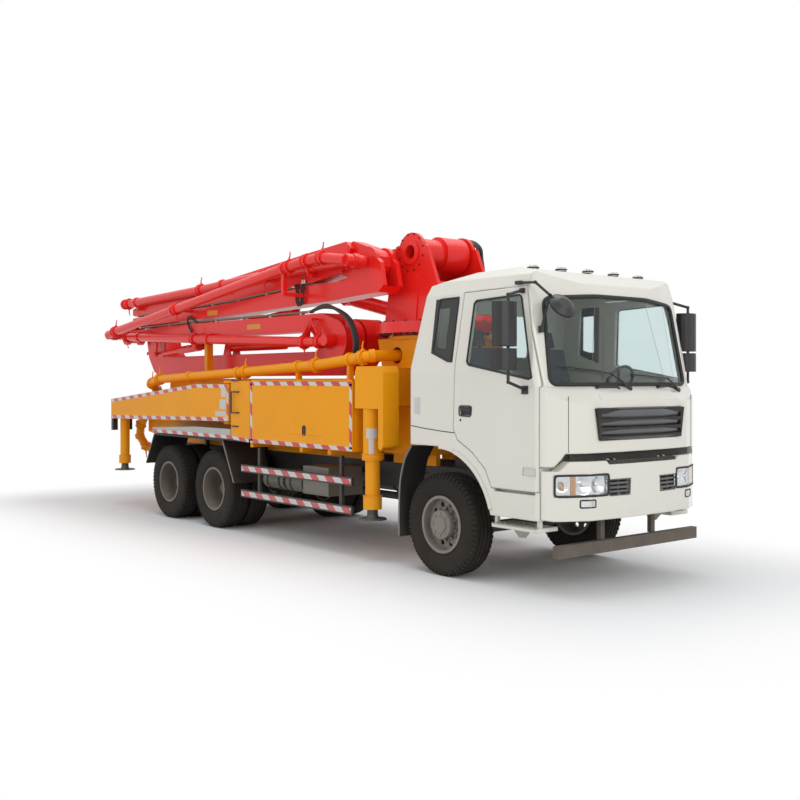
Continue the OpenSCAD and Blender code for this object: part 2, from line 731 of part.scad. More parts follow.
// Tall and wide mirror heads on one tube that stands on the door
mirror_x = 1225;
mirror_z = [[2385, 2808], [2158, 2365]];
module door_mirror(left)
    color("#17181a") at_part() side(left) {
        for (z = mirror_z)
            plate_xy(z[0], z[1]) polygon([
                [mirror_x + 10, -1560], [mirror_x + 52, -1530], [mirror_x + 75, -1470], [mirror_x + 75, -1390],
                [mirror_x + 52, -1335], [mirror_x + 10, -1310], [mirror_x - 52, -1304], [mirror_x - 52, -1566]
            ]);
        rod_z(mirror_x + 20, -1420, 30, 2040, 2880);
        bar([mirror_x + 20, -1420, 2045], [mirror_x + 30, -1208, 1975], 30);
        block(mirror_x - 10, mirror_x + 70, -1212, -1200.5, 1930, 2010);
        bar([mirror_x + 20, -1420, 2875], [mirror_x - 60, -1152, 2933], 30);
        block(mirror_x - 85, mirror_x - 35, -1162, -1134.5, 2908, 2955);
        for (z = [2045, 2875]) translate([mirror_x + 20, -1420, z]) rotate([50, 0, 30]) sphere(d = 38, $fn = 32);
    }

// Round kerb mirror in front of the screen's right corner, on a tube from the roof edge
kerb_tube = [[1140, -1136, 3012], [1340, -1150, 3000], [1475, -1090, 2870]];
kerb_head = [1560, -1000, 2775];
kerb_foot = [1366, -1092, 2560];
kerb_d = 280;
module kerb_mirror()
    color("#17181a") at_part() {
        block(1070, 1150, -1152, -1118.5, 2995, 3030);
        for (i = [0, 1]) bar(kerb_tube[i], kerb_tube[i + 1], 26);
        for (i = [1, 2]) translate(kerb_tube[i]) rotate([50, 0, 30]) sphere(d = 36, $fn = 32);
        bar(kerb_tube[2], kerb_foot, 22);
        block(1352, 1378, -1118, -1068, 2520, 2585);
        bar(kerb_tube[2], kerb_head, 22);
        translate(kerb_head) rotate([0, 52, -10]) {
            translate([0, 0, -22]) cylinder(d = kerb_d, h = 22);
            cylinder(d1 = kerb_d - 14, d2 = 130, h = 34);
        }
    }

// Deck on the frame: long bearers, cross bearers, tread plate and the side walls by the rear arms
deck_x0 = -6880;
deck_x1 = -1960;
locker_x0 = -3700;
locker_x1 = -1440;
locker_z0 = 1232;
locker_z1 = 2055;
module deck()
    color("#f0a010") at_part() {
        both() {
            block(rail_rear_x, deck_x1, -430, -360, rail_top, 1190);
            block(deck_x0, locker_x0 - 10, -790, -765, 1290, deck_top - 25);
            // Swing arm ears
            difference() {
                union() {
                    for (z = [1455, 2022]) {
                        block(swing_pin[0] - 130, swing_pin[0] + 130, swing_pin[1], -765, z, z + 34);
                        rod_z(swing_pin[0], swing_pin[1], 260, z, z + 34);
                    }
                }
                rod_z(swing_pin[0], swing_pin[1], 121, 1400, 2100);
            }
            rod_z(swing_pin[0], swing_pin[1], 120, 1455, 2056);
            // Ladder panel between the swing arm and the locker
            block(-4195, locker_x0 - 8, -deck_half_w, -deck_half_w + 25, 1290, deck_top - 30);
            block(-4195, locker_x0 - 8, -deck_half_w + 25, -765, deck_top - 55, deck_top - 30);
            block(-3760, locker_x0 - 8, -deck_half_w + 25, -765, 1290, deck_top - 55);
        }
        for (x = [-6860, -5900, -4840]) block(x, x + 60, -630, 630, 1190, 1290);
        for (x = [-3770, -2600, -2000]) {
            block(x, x + 60, -430, 430, 1190, locker_z0);
            both() block(x, x + 60, -1200, -430, bearer_z0, locker_z0);
        }
        // Floor between the side walls
        block(deck_x0, locker_x0 - 10, -765, 765, 1290, 1300);
        block(-3770, locker_x0 - 10, -765, 765, locker_z0, 1290);
        // Tread plate
        block(deck_x0, deck_x1, -790, 790, deck_top - 25, deck_top);
        // Rest for the folded boom
        block(-5990, -5900, arm3_y0 + 80, arm3_y0 + 180, deck_top, 2660);
        block(-6040, -5850, arm3_y0 + 40, arm3_y0 + 220, 2660, 2688);
    }

door_z0 = 1236;
module lockers()
    color("#f0a010") at_part() both() {
        difference() {
            block(locker_x0, locker_x1, -deck_half_w + 28, -640, locker_z0, locker_z1);
            block(locker_x0 + locker_wall, locker_x1 - locker_wall, -deck_half_w + 27, -640 - locker_wall,
                  locker_z0 + locker_wall, locker_z1 - locker_wall);
        }
    }
// Flap over the whole locker front, hung on a rod along its top edge
flap_pin = [-deck_half_w + 12, 2062];
flap_pin_d = 14;
module locker_door(left)
    color("#f0a010") at_part() side(left) {
        difference() {
            block(locker_x0, locker_x1, -deck_half_w, -deck_half_w + 22, door_z0, flap_pin[1] - 14);
            block(-2460, -2400, -deck_half_w - 1, -deck_half_w + 12, 1385, 1500);
        }
        block(-2450, -2410, -deck_half_w + 4, -deck_half_w + 12, 1400, 1485);
        rod_x(flap_pin[0], flap_pin[1], flap_pin_d, locker_x0 + 20, locker_x1 - 20);
        for (x = [locker_x0 + 20, -2600, locker_x1 - 140])
            block(x, x + 120, flap_pin[0] - 5, flap_pin[0] + 5, flap_pin[1] - 20, flap_pin[1]);
    }

// Portal that carries the slewing ring and holds the front beams
portal_x0 = -1690;
portal_x1 = -910;
beam_z0 = 1765;
beam_z1 = 2195;
beam_r = [-1392, -1152];
beam_l = [-1124, -884];
slip = 6;
portal_hole = [-1420, 2360];
module pedestal()
    color("#f0a010") at_part() {
        difference() {
            union() {
                both() plate_xz(-600, -560) polygon([
                    [portal_x0, 1190], [portal_x0, 2150], [portal_x0 - 90, slew_z - 60], [portal_x0 - 90, slew_z - 40],
                    [portal_x1 + 90, slew_z - 40], [portal_x1 + 90, slew_z - 60], [portal_x1, 2150], [portal_x1, 1190]
                ]);
                block(portal_x0, portal_x0 + 40, -560, 560, 1190, slew_z - 40);
                block(portal_x1 - 40, portal_x1, -560, 560, 1190, slew_z - 40);
                block(portal_x0, portal_x1, -600, 600, 1190, 1225);
                block(portal_x0, portal_x1, -600, 600, beam_z0 - 50, beam_z0 - slip);
                block(portal_x0, portal_x1, -560, 560, beam_z1 + slip, beam_z1 + slip + 30);
                rod_z(slew_x, 0, 1300, slew_z - 50, slew_z - 12);
                block(portal_x0 + 40, portal_x1 - 40, -20, 20, 1225, beam_z0 - 50);
            }
            block(beam_r[0] - slip, beam_l[1] + slip, -700, 700, beam_z0 - slip, beam_z1 + slip);
            rod_y(portal_hole, 200, -700, -500);
            rod_z(slew_x, 0, 700, slew_z - 60, slew_z);
        }
        // Fixed half of the slewing ring
        difference() {
            rod_z(slew_x, 0, 1180, slew_z - 12, slew_z - 2);
            rod_z(slew_x, 0, 900, slew_z - 20, slew_z);
        }
        both() block(portal_x0, portal_x1, -430, -360, rail_top, 1190);
    }

// Two delivery cylinders, water box and the two drive cylinders, seated on the cross bearers
module pump_unit()
    color("#8d9298") at_part() {
        both() {
            rod_x(-170, 1420, 230, -7060, -4900);
            rod_x(-170, 1420, 130, -4400, -2700);
            rod_x(-170, 1420, 165, -2760, -2640);
        }
        block(-4900, -4400, -330, 330, 1300, 1640);
        block(-2640, -2560, -300, 300, 1300, 1560);
        for (x = [-6500, -5500]) block(x, x + 80, -300, 300, 1300, 1330);
        block(-4300, -4220, -280, 280, 1300, 1420);
        block(-3770, locker_x0 - 10, -280, 280, 1300, 1390);
        block(-2600, -2540, -280, 280, locker_z0, 1390);
    }

hopper_x0 = -7900;
hopper_x1 = -7065;
hopper_top = 1440;
hopper_half_w = 670;
hopper_wall = 14;
function hopper_side(t) = [
    [hopper_x0 + t, hopper_top + 1], [hopper_x0 + t, 1200], [hopper_x0 + 190, 780 + t], [hopper_x1 - 170, 780 + t],
    [hopper_x1 - t, 1200], [hopper_x1 - t, hopper_top + 1]
];
function hopper_front(t) = [
    [-hopper_half_w + t, hopper_top + 1], [-hopper_half_w + t, 1215], [-345 + t, 1075], [-345 + t, 780 + t],
    [345 - t, 780 + t], [345 - t, 1075], [hopper_half_w - t, 1215], [hopper_half_w - t, hopper_top + 1]
];
module hopper_form(t)
    intersection() {
        plate_xz(-800, 800) polygon(hopper_side(t));
        plate_yz(hopper_x0 - 50, hopper_x1 + 50) polygon(hopper_front(t));
    }
module hopper()
    color("#f0a010") at_part() {
        difference() {
            hopper_form(0);
            hopper_form(hopper_wall);
            block(-9000, 0, -900, 900, hopper_top, 2000);
        }
        // Agitator shaft across the bin
        rod_y([-7500, 1180], 60, -hopper_half_w + 4, hopper_half_w - 4);
        for (y = [-250, -90, 90, 250]) block(-7520, -7480, y - 30, y + 30, 1030, 1180);
        // Stubs that carry the bin on the ends of the deck bearers
        both() block(hopper_x1 - 6, rail_rear_x, -430, -360, 1090, 1190);
    }

grate_pin = [hopper_x1 - 30, hopper_top + 32];
grate_bars = 11;
module hopper_grate()
    color("#3c3c3c") at_part() {
        rod_y(grate_pin, 24, -620, 620);
        for (i = [0:grate_bars - 1])
            block(hopper_x0 + 50, grate_pin[0], -600 + i * 120 - 7, -600 + i * 120 + 7, hopper_top + 18, hopper_top + 44);
        for (x = [hopper_x0 + 50, (hopper_x0 + hopper_x1) / 2 - 15])
            block(x, x + 16, -607, 607, hopper_top + 12, hopper_top + 40);
    }

pipe_y = -1010;
deck_route = [
    [portal_hole[0], -560, portal_hole[1]], [-1450, pipe_y + 60, 2350], [-1560, pipe_y, 2330], [-2520, pipe_y, 2250], [-4210, pipe_y, 2175], [-6800, pipe_y, 2080],
    [-7180, -950, 2010], [-7420, -752, 1900], [-7700, -748, 1600], [-8020, -748, 1330],
    [-8090, -735, 1130], [-8040, -650, 960], [-7900, -540, 880], [-7750, -460, 870], [-7640, -440, 870],
    [-7640, -346, 870]
];
module deck_pipe()
    color("#f2a81e") at_part() {
        pipe_run(deck_route, pipe_d);
        // Coupling clamps and their saddles on the deck
        for (x = [-1800, -2900, -4400, -5800])
            let (z = lookup(-x, [[1560, 2330], [2520, 2250], [4210, 2175], [6800, 2080]])) {
                rod_x(pipe_y, z, pipe_d + 34, x - 30, x + 30);
                if (x > locker_x0) block(x - 25, x + 25, pipe_y - 35, pipe_y + 35, locker_z1, z - 40);
                else if (x > swing_pin[0] - 130) block(x - 25, x + 25, pipe_y - 35, pipe_y + 35, 2056, z - 40);
                else block(x - 25, x + 25, pipe_y + 40, -790, 2066, 2106);
            }
    }

// Front beam with its leg box at the end; the leg housing hangs in the box
leg_box_x = [-1392, -868];
leg_y = [-1250, -1020];
module outrigger_front(left)
    color("#f0a010") at_part() side(left) {
        bx = left ? beam_l : beam_r;
        difference() {
            block(bx[0], bx[1], leg_y[0] + 20, 560, beam_z0, beam_z1);
            block(bx[0] + 16, bx[1] - 16, leg_y[0] + 200, 561, beam_z0 + 16, beam_z1 - 16);
        }
        difference() {
            plate_xz(leg_y[0], leg_y[1]) polygon([
                [leg_box_x[0], 2150], [leg_box_x[0], 1740], [leg_box_x[0] + 30, 1740], [leg_box_x[1] - 90, 1740],
                [leg_box_x[1] - 90, 1300], [leg_box_x[1] - 50, 1275], [leg_box_x[1], 1330], [leg_box_x[1], 2150],
                [leg_box_x[1] - 30, 2222], [leg_box_x[0] + 30, 2222]
            ]);
            block(leg_box_x[0] + 20, leg_box_x[1] - 20, leg_y[0] + 20, leg_y[1] + 1, 1270, beam_z0 - 30);
        }
        // Leg housing with its collars
        difference() {
            union() {
                rod_z(front_jack[0], front_jack[1], jack_d + 50, 1210, 1740);
                rod_z(front_jack[0], front_jack[1], jack_d + 74, 1150, 1212);
                rod_z(front_jack[0], front_jack[1], jack_d, 740, 1152);
                rod_z(front_jack[0], front_jack[1], jack_d + 46, 590, 742);
            }
            rod_z(front_jack[0], front_jack[1], jack_d - 40, 589, 1700);
        }
    }

// Rear beam that swings on its pin: tapered box with rounded root
function beam_top(x) = lookup(-x, [[4260, 2010], [5200, 2010], [8080, 1754]]);
function beam_low(x) = lookup(-x, [[4260, 1500], [8080, 1434]]);
swing_root_x = -4262;
swing_end_x = -8080;
module outrigger_rear(left)
    color("#f0a010") at_part() side(left) {
        difference() {
            intersection() {
                plate_xz(-deck_half_w, -850) polygon([
                    [swing_root_x, beam_low(swing_root_x)], [swing_root_x, 2010], [-5200, 2010],
                    [swing_end_x, beam_top(swing_end_x)], [swing_end_x, beam_low(swing_end_x)]
                ]);
                // Inner face cut back beside the hopper
                plate_xy(1300, 2100) polygon([
                    [swing_root_x, -deck_half_w], [swing_root_x, -990], [-4330, -860], [-7000, -860], [-7200, -880],
                    [swing_end_x, -900], [swing_end_x, -deck_half_w]
                ]);
            }
            rod_z(swing_pin[0], swing_pin[1], 120 + 2 * fit, 1400, 2100);
            // Open underside between the two side plates
            block(swing_end_x + 420, swing_pin[0] - 260, -deck_half_w + 16, -880, 1400, 1720);
            rod_z(rear_jack[0], rear_jack[1], jack_d - 40, 1400, 1700);
        }
        difference() {
            union() {
                rod_z(rear_jack[0], rear_jack[1], jack_d - 20, 830, 1500);
                rod_z(rear_jack[0], rear_jack[1], jack_d + 20, 700, 832);
            }
            rod_z(rear_jack[0], rear_jack[1], jack_d - 50, 699, 1501);
        }
        // Lamp housings under the tail, on both sides of the leg
        for (y = [[-1246, -1166], [-990, -910]]) block(-8078, -8010, y[0], y[1], 1245, 1440);
    }

// Sliding leg with its ball and foot plate
module jack(at, foot_z, rod, top_z)
    color("#2c2c2c") at_part() {
        rod_z(at[0], at[1], rod, foot_z + 40, top_z);
        translate([at[0], at[1], foot_z]) cylinder(d1 = foot_d, d2 = foot_d - 20, h = 16);
        translate([at[0], at[1], foot_z + 15]) cylinder(d1 = rod + 30, d2 = rod, h = 40);
    }
jack_clear = 3;
module jack_front(left)
    side(left) jack(front_jack, front_foot_z, jack_d - 40 - 2 * jack_clear, 1650);
module jack_rear(left)
    side(left) jack(rear_jack, rear_foot_z, jack_d - 50 - 2 * jack_clear, 1460);

// Turret: turntable, two cheeks, hinge pin and the lugs of the lift cylinder
cheek_near = [-312, -262];
cheek_far = [500, 550];
hinge_d = 230;
hinge_bore = 176;
cheek_outline = [
    [-2020, slew_z + 150], [-1850, 3570], [-1760, 3720], [-1330, 3720], [-1215, 3680], [-1030, 3250], [-780, slew_z + 150]
];
module turret()
    color("#d9141c") at_part() {
        difference() {
            union() {
                rod_z(slew_x, 0, 1600, slew_z + 20, slew_z + 150);
                rod_z(slew_x, 0, 1180, slew_z + 2, slew_z + 20);
                for (y = [cheek_near, cheek_far]) {
                    plate_xz(y[0], y[1]) polygon(cheek_outline);
                    rod_y(foot_pin, 480, y[0], y[1]);
                }
                rod_y(foot_pin, 300, cheek_near[0] - 20, cheek_near[0]);
                rod_y(foot_pin, 300, cheek_far[1], cheek_far[1] + 100);
                rod_y(foot_pin, hinge_d, cheek_near[0], cheek_far[1]);
                // Raised stiffener up the near cheek
                plate_xz(cheek_near[0] - 16, cheek_near[0]) polygon([
                    [-1925, slew_z + 150], [-1640, 3270], [-1580, 3350], [-1500, 3372], [-1450, 3372],
                    [-1380, 3345], [-1345, 3270], [-1400, slew_z + 150]
                ]);
                // Cross plate in front of the arm
                plate_xz(cheek_near[0], cheek_far[1]) polygon([
                    [-1010, slew_z + 150], [-1150, 3240], [-1110, 3250], [-960, slew_z + 150]
                ]);
                // Lugs of the lift cylinder
                for (y = [cyl_y - 112, cyl_y + 78])
                    plate_xz(y, y + 34) polygon([
                        [-2000, slew_z + 150], [-2080, 2860], [-2040, 2940], [-1930, 2950], [-1750, slew_z + 150]
                    ]);
            }
            rod_y(foot_pin, hinge_bore, cheek_near[0] - 30, cheek_far[1] + 110);
            for (y = [cyl_y - 113, cyl_y + 77]) rod_y(lug_turret, 80, y, y + 36);
            rod_z(slew_x, 0, 500, slew_z, slew_z + 151);
        }
    }

// Fold cylinder beside an arm: barrel, rod and the lug pair at each end, all in one side view line
fold_lug_t = 28;
module fold_cylinder(eye, neck, end, y, foot_a, foot_b) {
    bar([end[0], y, end[1]], [neck[0], y, neck[1]], 140);
    bar([neck[0], y, neck[1]], [eye[0], y, eye[1]], 84);
    for (side_y = [y - 95, y + 67]) {
        plate_xz(side_y, side_y + fold_lug_t)
            polygon([[eye[0] - 60, eye[1]], [eye[0] + 60, eye[1]], [eye[0] + 110, foot_a], [eye[0] - 110, foot_a]]);
        plate_xz(side_y, side_y + fold_lug_t)
            polygon([[end[0] - 60, end[1]], [end[0] + 60, end[1]], [end[0] + 110, foot_b], [end[0] - 110, foot_b]]);
    }
    for (p = [eye, end]) {
        rod_y(p, 120, y - 95, y + 95);
        rod_y(p, 60, y - 110, y + 110);
    }
}

// First arm: root barrel on the turret, tapered box, rear boss for the second arm's pin
far_lane = arm1_y1 + pipe_r + 14;
module arm_1()
    color("#c9121b") at_part() {
        difference() {
            union() {
                plate_xz(arm1_y0, arm1_y1) polygon([
                    [-1560, 3812], [-2600, 3760], [-8150, 3330], [-8330, 3300], [-8480, 3180],
                    [-8480, 3030], [-8300, 2920], [-7900, 2990], [-2400, 3395], [-1900, 3330], [-1500, 3400]
                ]);
                rod_y(pin1, 400, arm1_y0, arm1_y1);
                rod_y(foot_pin, 440, arm1_y0, arm1_y1);
                rod_y(foot_pin, 360, cheek_near[1] + 12, cheek_far[0] - 12);
                // Gusset that widens the root
                plate_xz(-180, arm1_y0) polygon([[-1500, 3780], [-1950, 3740], [-1950, 3500], [-1500, 3460]]);
                for (y = [cyl_y - 138, cyl_y + 104])
                    plate_xz(y, y + 34) polygon([
                        [-3280, 3340], [-3390, 3130], [-3500, 3100], [-3600, 3150], [-3760, 3320]
                    ]);
                rod_y(lug_arm, 90, cyl_y - 150, cyl_y + 150);
            }
            rod_y(foot_pin, hinge_d + 2 * fit, cheek_near[1] - 1, cheek_far[0] + 1);
            rod_y(pin1, pin_d + 2 * fit, arm1_y0 - 1, arm1_y1 + 1);
        }
        // Delivery pipe on the far side
        pipe_run([
            [pin1[0], far_lane, pin1[1]], [-7900, far_lane, 3180], [-2150, far_lane, 3600],
            [-1850, cheek_far[1] + 170, 3612], [foot_pin[0], cheek_far[1] + 170, foot_pin[1]],
            [foot_pin[0], cheek_far[1] + 102, foot_pin[1]]
        ], pipe_d);
        for (x = [-7200, -5200, -3200])
            let (z = 3180 + (x + 7900) * 420 / 5750)
                block(x - 25, x + 25, arm1_y1 - 2, arm1_y1 + 30, z - 60, z + 60);
        fold_cylinder([-7500, 2890], [-6450, 2968], [-5000, 3076], cyl_y, 3040, 3230);
    }

// Second arm: lies low beside the first, with the long gooseneck up to its pin at the rear
module arm_2()
    color("#a90f18") at_part() {
        plate_xz(arm2_y0, arm2_y1) polygon([
            [-2440, 2300], [-2600, 2125], [-8000, 2125], [-8200, 2210], [-8390, 2440], [-8480, 2760], [-8510, 3090],
            [-8100, 3090], [-8090, 2760], [-7960, 2560], [-7700, 2450], [-3100, 2450], [-2760, 2660], [-2500, 2800]
        ]);
        rod_y(pin2, 560, arm2_y0, arm2_y1);
        rod_y(pin1, 420, arm2_y0, arm2_y1);
        // Pin shared with the first arm, and the pin that carries the third arm
        rod_y(pin1, pin_d, arm2_y0 - 20, arm1_y1 + 6);
        rod_y(pin1, 300, arm2_y0 - 12, arm2_y0 + 1);
        rod_y(pin2, pin_d, arm3_y0 - 8, arm2_y0 + 1);
        rod_y(pin2, 300, arm2_y1 - 1, arm2_y1 + 14);
        // Delivery pipe on the far side
        pipe_run([[-2520, 10, 2560], [-2700, 20, 2400], [-2950, 20, 2320], [-7900, 20, 2320], [-8160, 20, 2560], [-8290, 20, 2900]], pipe_d);
        for (x = [-3600, -5400, -7200]) block(x - 25, x + 25, arm2_y1 - 2, -38, 2260, 2380);
        fold_cylinder([-3360, 2575], [-4400, 2575], [-5900, 2575], (arm2_y0 + arm2_y1) / 2, 2440, 2440);
    }

// Third arm, level, with the fold cylinder under its rear end
module arm_3()
    color("#d9141c") at_part() {
        difference() {
            union() {
                plate_xz(arm3_y0, arm3_y1) polygon([
                    [-2500, 2848], [-2760, 2926], [-6400, 2930], [-8300, 2905], [-8400, 2880], [-8400, 2775],
                    [-6400, 2715], [-3000, 2700], [-2760, 2440], [-2500, 2320]
                ]);
                rod_y(pin2, 540, arm3_y0, arm3_y1);
                for (y = [arm3_y0, arm3_y1 - 60]) {
                    plate_xz(y, y + 60) polygon([[-8380, 2900], [-8600, 2960], [-8600, 2700], [-8380, 2760]]);
                    rod_y(pin3, 2 * knuckle3_r, y, y + 60);
                }
            }
            rod_y(pin2, pin_d + 2 * fit, arm3_y0 - 1, arm3_y1 + 1);
        }
        rod_y(pin3, pin_d - 40, arm3_y0 - 8, arm3_y1 + 20);
        // Pipe with elbows onto both pins
        pipe_run([[pin2[0], inner_lane, pin2[1]], [-2700, inner_lane, 2556], [-3040, inner_lane, 2560], [-6000, inner_lane, 2690],
                  [-8360, inner_lane, 2800], [pin3[0], inner_lane, pin3[1]]], pipe_d);
        rod_y(pin3, pipe_d + 16, swivel_y + 2, inner_lane + 20);
        rod_y(pin3, pipe_d + 40, swivel_y + 2, swivel_y + 34);
        rod_y(pin2, pipe_d + 16, inner_lane - pipe_r - 12, arm3_y0 - 14);
        for (x = [-3050, -5550, -7900])
            let (z = x > -6000 ? 2560 + (-3040 - x) * 130 / 2960 : 2690 + (-6000 - x) * 110 / 2360) {
                rod_x(inner_lane, z, pipe_d + 34, x - 28, x + 28);
                block(x - 28, x + 28, inner_lane, arm3_y0 + 2, z + 10, 2760);
            }
        // Fold cylinder below the box
        bar([-7640, arm3_y0 + 150, 2500], [-6700, arm3_y0 + 150, 2555], 70);
        bar([-6900, arm3_y0 + 150, 2543], [-6250, arm3_y0 + 150, 2580], 120);
        for (y = [arm3_y0 + 60, arm3_y0 + 210]) {
            plate_xz(y, y + 30) polygon([[-6180, 2720], [-6220, 2540], [-6320, 2540], [-6420, 2720]]);
            plate_xz(y, y + 30) polygon([[-7560, 2752], [-7600, 2450], [-7700, 2450], [-7780, 2758]]);
        }
        rod_y([-6270, 2580], 60, arm3_y0 + 50, arm3_y0 + 250);
        rod_y([-7650, 2500], 60, arm3_y0 + 50, arm3_y0 + 250);
    }

// Fourth arm, a shallow box that rises to the big front knuckle plate
knuckle4_r = 185;
module arm_4()
    color("#e01720") at_part() {
        difference() {
            union() {
                plate_xz(arm3_y0, arm3_y1) polygon([
                    [-8330, 2968], [-5500, 3002], [-2580, 3070], [-2150, 3095], [-1600, 3120], [-1500, 3190],
                    [-1560, 3190], [-1640, 3160], [-2100, 3190], [-2250, 3306], [-3000, 3300], [-5000, 3190], [-8330, 3110]
                ]);
                plate_xz(arm3_y0 + 64, arm3_y1 - 64) polygon([[-8320, 3100], [-8320, 2975], [-8430, 2890], [-8480, 2760], [-8600, 2700], [-8720, 2900], [-8560, 3060]]);
                for (y = [arm3_y0, arm3_y1 - 60]) {
                    plate_xz(y, y + 60) polygon([
                        [-1560, 3160], [-1490, 3200], [-1555, 3480], [-1800, 3680], [-2010, 3500], [-2300, 3290], [-2200, 3150], [-1620, 3145]
                    ]);
                    rod_y(pin4, 2 * knuckle4_r, y, y + 60);
                }
            }
            rod_y(pin3, pin_d - 40 + 2 * fit, arm3_y0 - 1, arm3_y1 + 1);
        }
        rod_y(pin4, pin_d - 40, arm3_y0 - 8, arm3_y1 + 20);
        // Pipe in the outer lane with its big front elbow
        pipe_run([[pin3[0], outer_lane, pin3[1]], [-8300, outer_lane, 2880], [-6140, outer_lane, 3140], [-3040, outer_lane, 3520],
                  [-2640, outer_lane, 3560], [-2300, outer_lane, 3570], [pin4[0], outer_lane, pin4[1]]], pipe_d);
        for (p = [pin3, pin4]) {
            rod_y(p, pipe_d + 16, outer_lane - 20, swivel_y - 2);
            rod_y(p, pipe_d + 40, swivel_y - 34, swivel_y - 2);
        }
        for (x = [-6230, -3150])
            let (z = 3140 + (x + 6140) * 380 / 3100) {
                rod_x(outer_lane, z, pipe_d + 34, x - 28, x + 28);
                block(x - 28, x + 28, outer_lane, arm3_y0 + 2, z - 330 * (x > -4000 ? 1 : 0) - 25, z - 330 * (x > -4000 ? 1 : 0) + 20);
                if (x > -4000) block(x - 28, x + 28, outer_lane - 30, outer_lane + 30, z - 340, z);
            }
    }

// Tip arm with the high hexagonal gooseneck over the front pin
tip_z = 3352;
module arm_5()
    color("#e01720") at_part() {
        difference() {
            union() {
                plate_xz(arm3_y0, arm3_y1) polygon([
                    [-2240, 3790], [-3000, 3730], [-5000, 3550], [-8200, 3285], [-8330, 3262], [-8330, 3160],
                    [-8200, 3135], [-5000, 3222], [-3000, 3333], [-2340, 3420], [-2140, 3700]
                ]);
                plate_xz(arm3_y0 + 64, arm3_y1 - 64) polygon([
                    [-2180, 3795], [-1850, 3690], [-1640, 3560], [-1640, 3440], [-1800, 3340], [-2000, 3380], [-2400, 3380], [-2450, 3640]
                ]);
                rod_y(pin4, 320, arm3_y0 + 64, arm3_y1 - 64);
            }
            rod_y(pin4, pin_d - 40 + 2 * fit, arm3_y0 - 1, arm3_y1 + 1);
        }
        pipe_run([[pin4[0], inner_lane, pin4[1]], [-2100, inner_lane, 3530], [-4000, inner_lane, 3500], [-5800, inner_lane, 3420],
                  [-8300, inner_lane, tip_z], [-8440, inner_lane, tip_z]], pipe_d);
        rod_y(pin4, pipe_d + 16, swivel_y + 2, inner_lane + 20);
        rod_y(pin4, pipe_d + 40, swivel_y + 2, swivel_y + 34);
        rod_x(inner_lane, tip_z, pipe_d + 40, -8460, -8430);
        for (x = [-2900, -5150, -8000])
            let (z = lookup(-x, [[2100, 3530], [4000, 3500], [5800, 3420], [8300, tip_z]])) {
                rod_x(inner_lane, z, pipe_d + 34, x - 28, x + 28);
                block(x - 28, x + 28, inner_lane, arm3_y0 + 40, z - 130, z - 40);
            }
    }

// Lift cylinder: barrel on the first arm, rod down to the turret lugs
lift_len = norm(lug_arm - lug_turret);
lift_tilt = atan2(lug_arm[1] - lug_turret[1], lug_turret[0] - lug_arm[0]);
module along_lift()
    translate([lug_arm[0], cyl_y, lug_arm[1]]) rotate([0, lift_tilt, 0]) children();
barrel_len = lift_len - 250;
module lift_barrel()
    color("#d9141c") at_part() along_lift() {
        difference() {
            union() {
                translate([90, 0, 0]) rotate([0, 90, 0]) cylinder(d = barrel_d, h = barrel_len - 90);
                translate([barrel_len - 70, 0, 0]) rotate([0, 90, 0]) cylinder(d = barrel_d + 24, h = 60);
                translate([0, 90, 0]) rotate([90, 0, 0]) cylinder(d = 190, h = 180);
            }
            translate([0, 100, 0]) rotate([90, 0, 0]) cylinder(d = 90 + 2 * fit, h = 200);
            translate([160, 0, 0]) rotate([0, 90, 0]) cylinder(d = rod_d + 2 * fit, h = barrel_len);
        }
    }
module lift_rod()
    color("#c8ccd0") at_part() along_lift()
        difference() {
            union() {
                translate([170, 0, 0]) rotate([0, 90, 0]) cylinder(d = rod_d, h = lift_len - 230);
                translate([lift_len, 70, 0]) rotate([90, 0, 0]) cylinder(d = 150, h = 140);
            }
            translate([lift_len, 80, 0]) rotate([90, 0, 0]) cylinder(d = 80, h = 160);
        }

chassis_frame();
axles();
engine_block();
tanks();
side_guards();
mudguards();
bumper();
headlamps();
underrun_bar();
knuckle(false);  // knuckle_right
knuckle(true);  // knuckle_left
tyre_single(false);  // tyre_front_right
tyre_single(true);  // tyre_front_left
rim_single(false);  // rim_front_right
rim_single(true);  // rim_front_left
tyre_pair(axle2_x, false);  // tyres_mid_right
tyre_pair(axle2_x, true);  // tyres_mid_left
rim_pair(axle2_x, false);  // rims_mid_right
rim_pair(axle2_x, true);  // rims_mid_left
tyre_pair(axle3_x, false);  // tyres_rear_right
tyre_pair(axle3_x, true);  // tyres_rear_left
rim_pair(axle3_x, false);  // rims_rear_right
rim_pair(axle3_x, true);  // rims_rear_left
cab_shell();
cab_glass();
grille();
seats();
dashboard();
door(false);  // door_right
door(true);  // door_left
door_glass(false);  // door_glass_right
door_glass(true);  // door_glass_left
door_mirror(false);  // mirror_right
door_mirror(true);  // mirror_left
kerb_mirror();
deck();
lockers();
locker_door(false);  // locker_door_right
locker_door(true);  // locker_door_left
pedestal();
pump_unit();
hopper();
hopper_grate();
deck_pipe();
outrigger_front(false);  // outrigger_front_right
outrigger_front(true);  // outrigger_front_left
outrigger_rear(false);  // outrigger_rear_right
outrigger_rear(true);  // outrigger_rear_left
jack_front(false);  // jack_front_right
jack_front(true);  // jack_front_left
jack_rear(false);  // jack_rear_right
jack_rear(true);  // jack_rear_left
turret();
arm_1();
arm_2();
arm_3();
arm_4();
arm_5();
lift_barrel();
lift_rod();
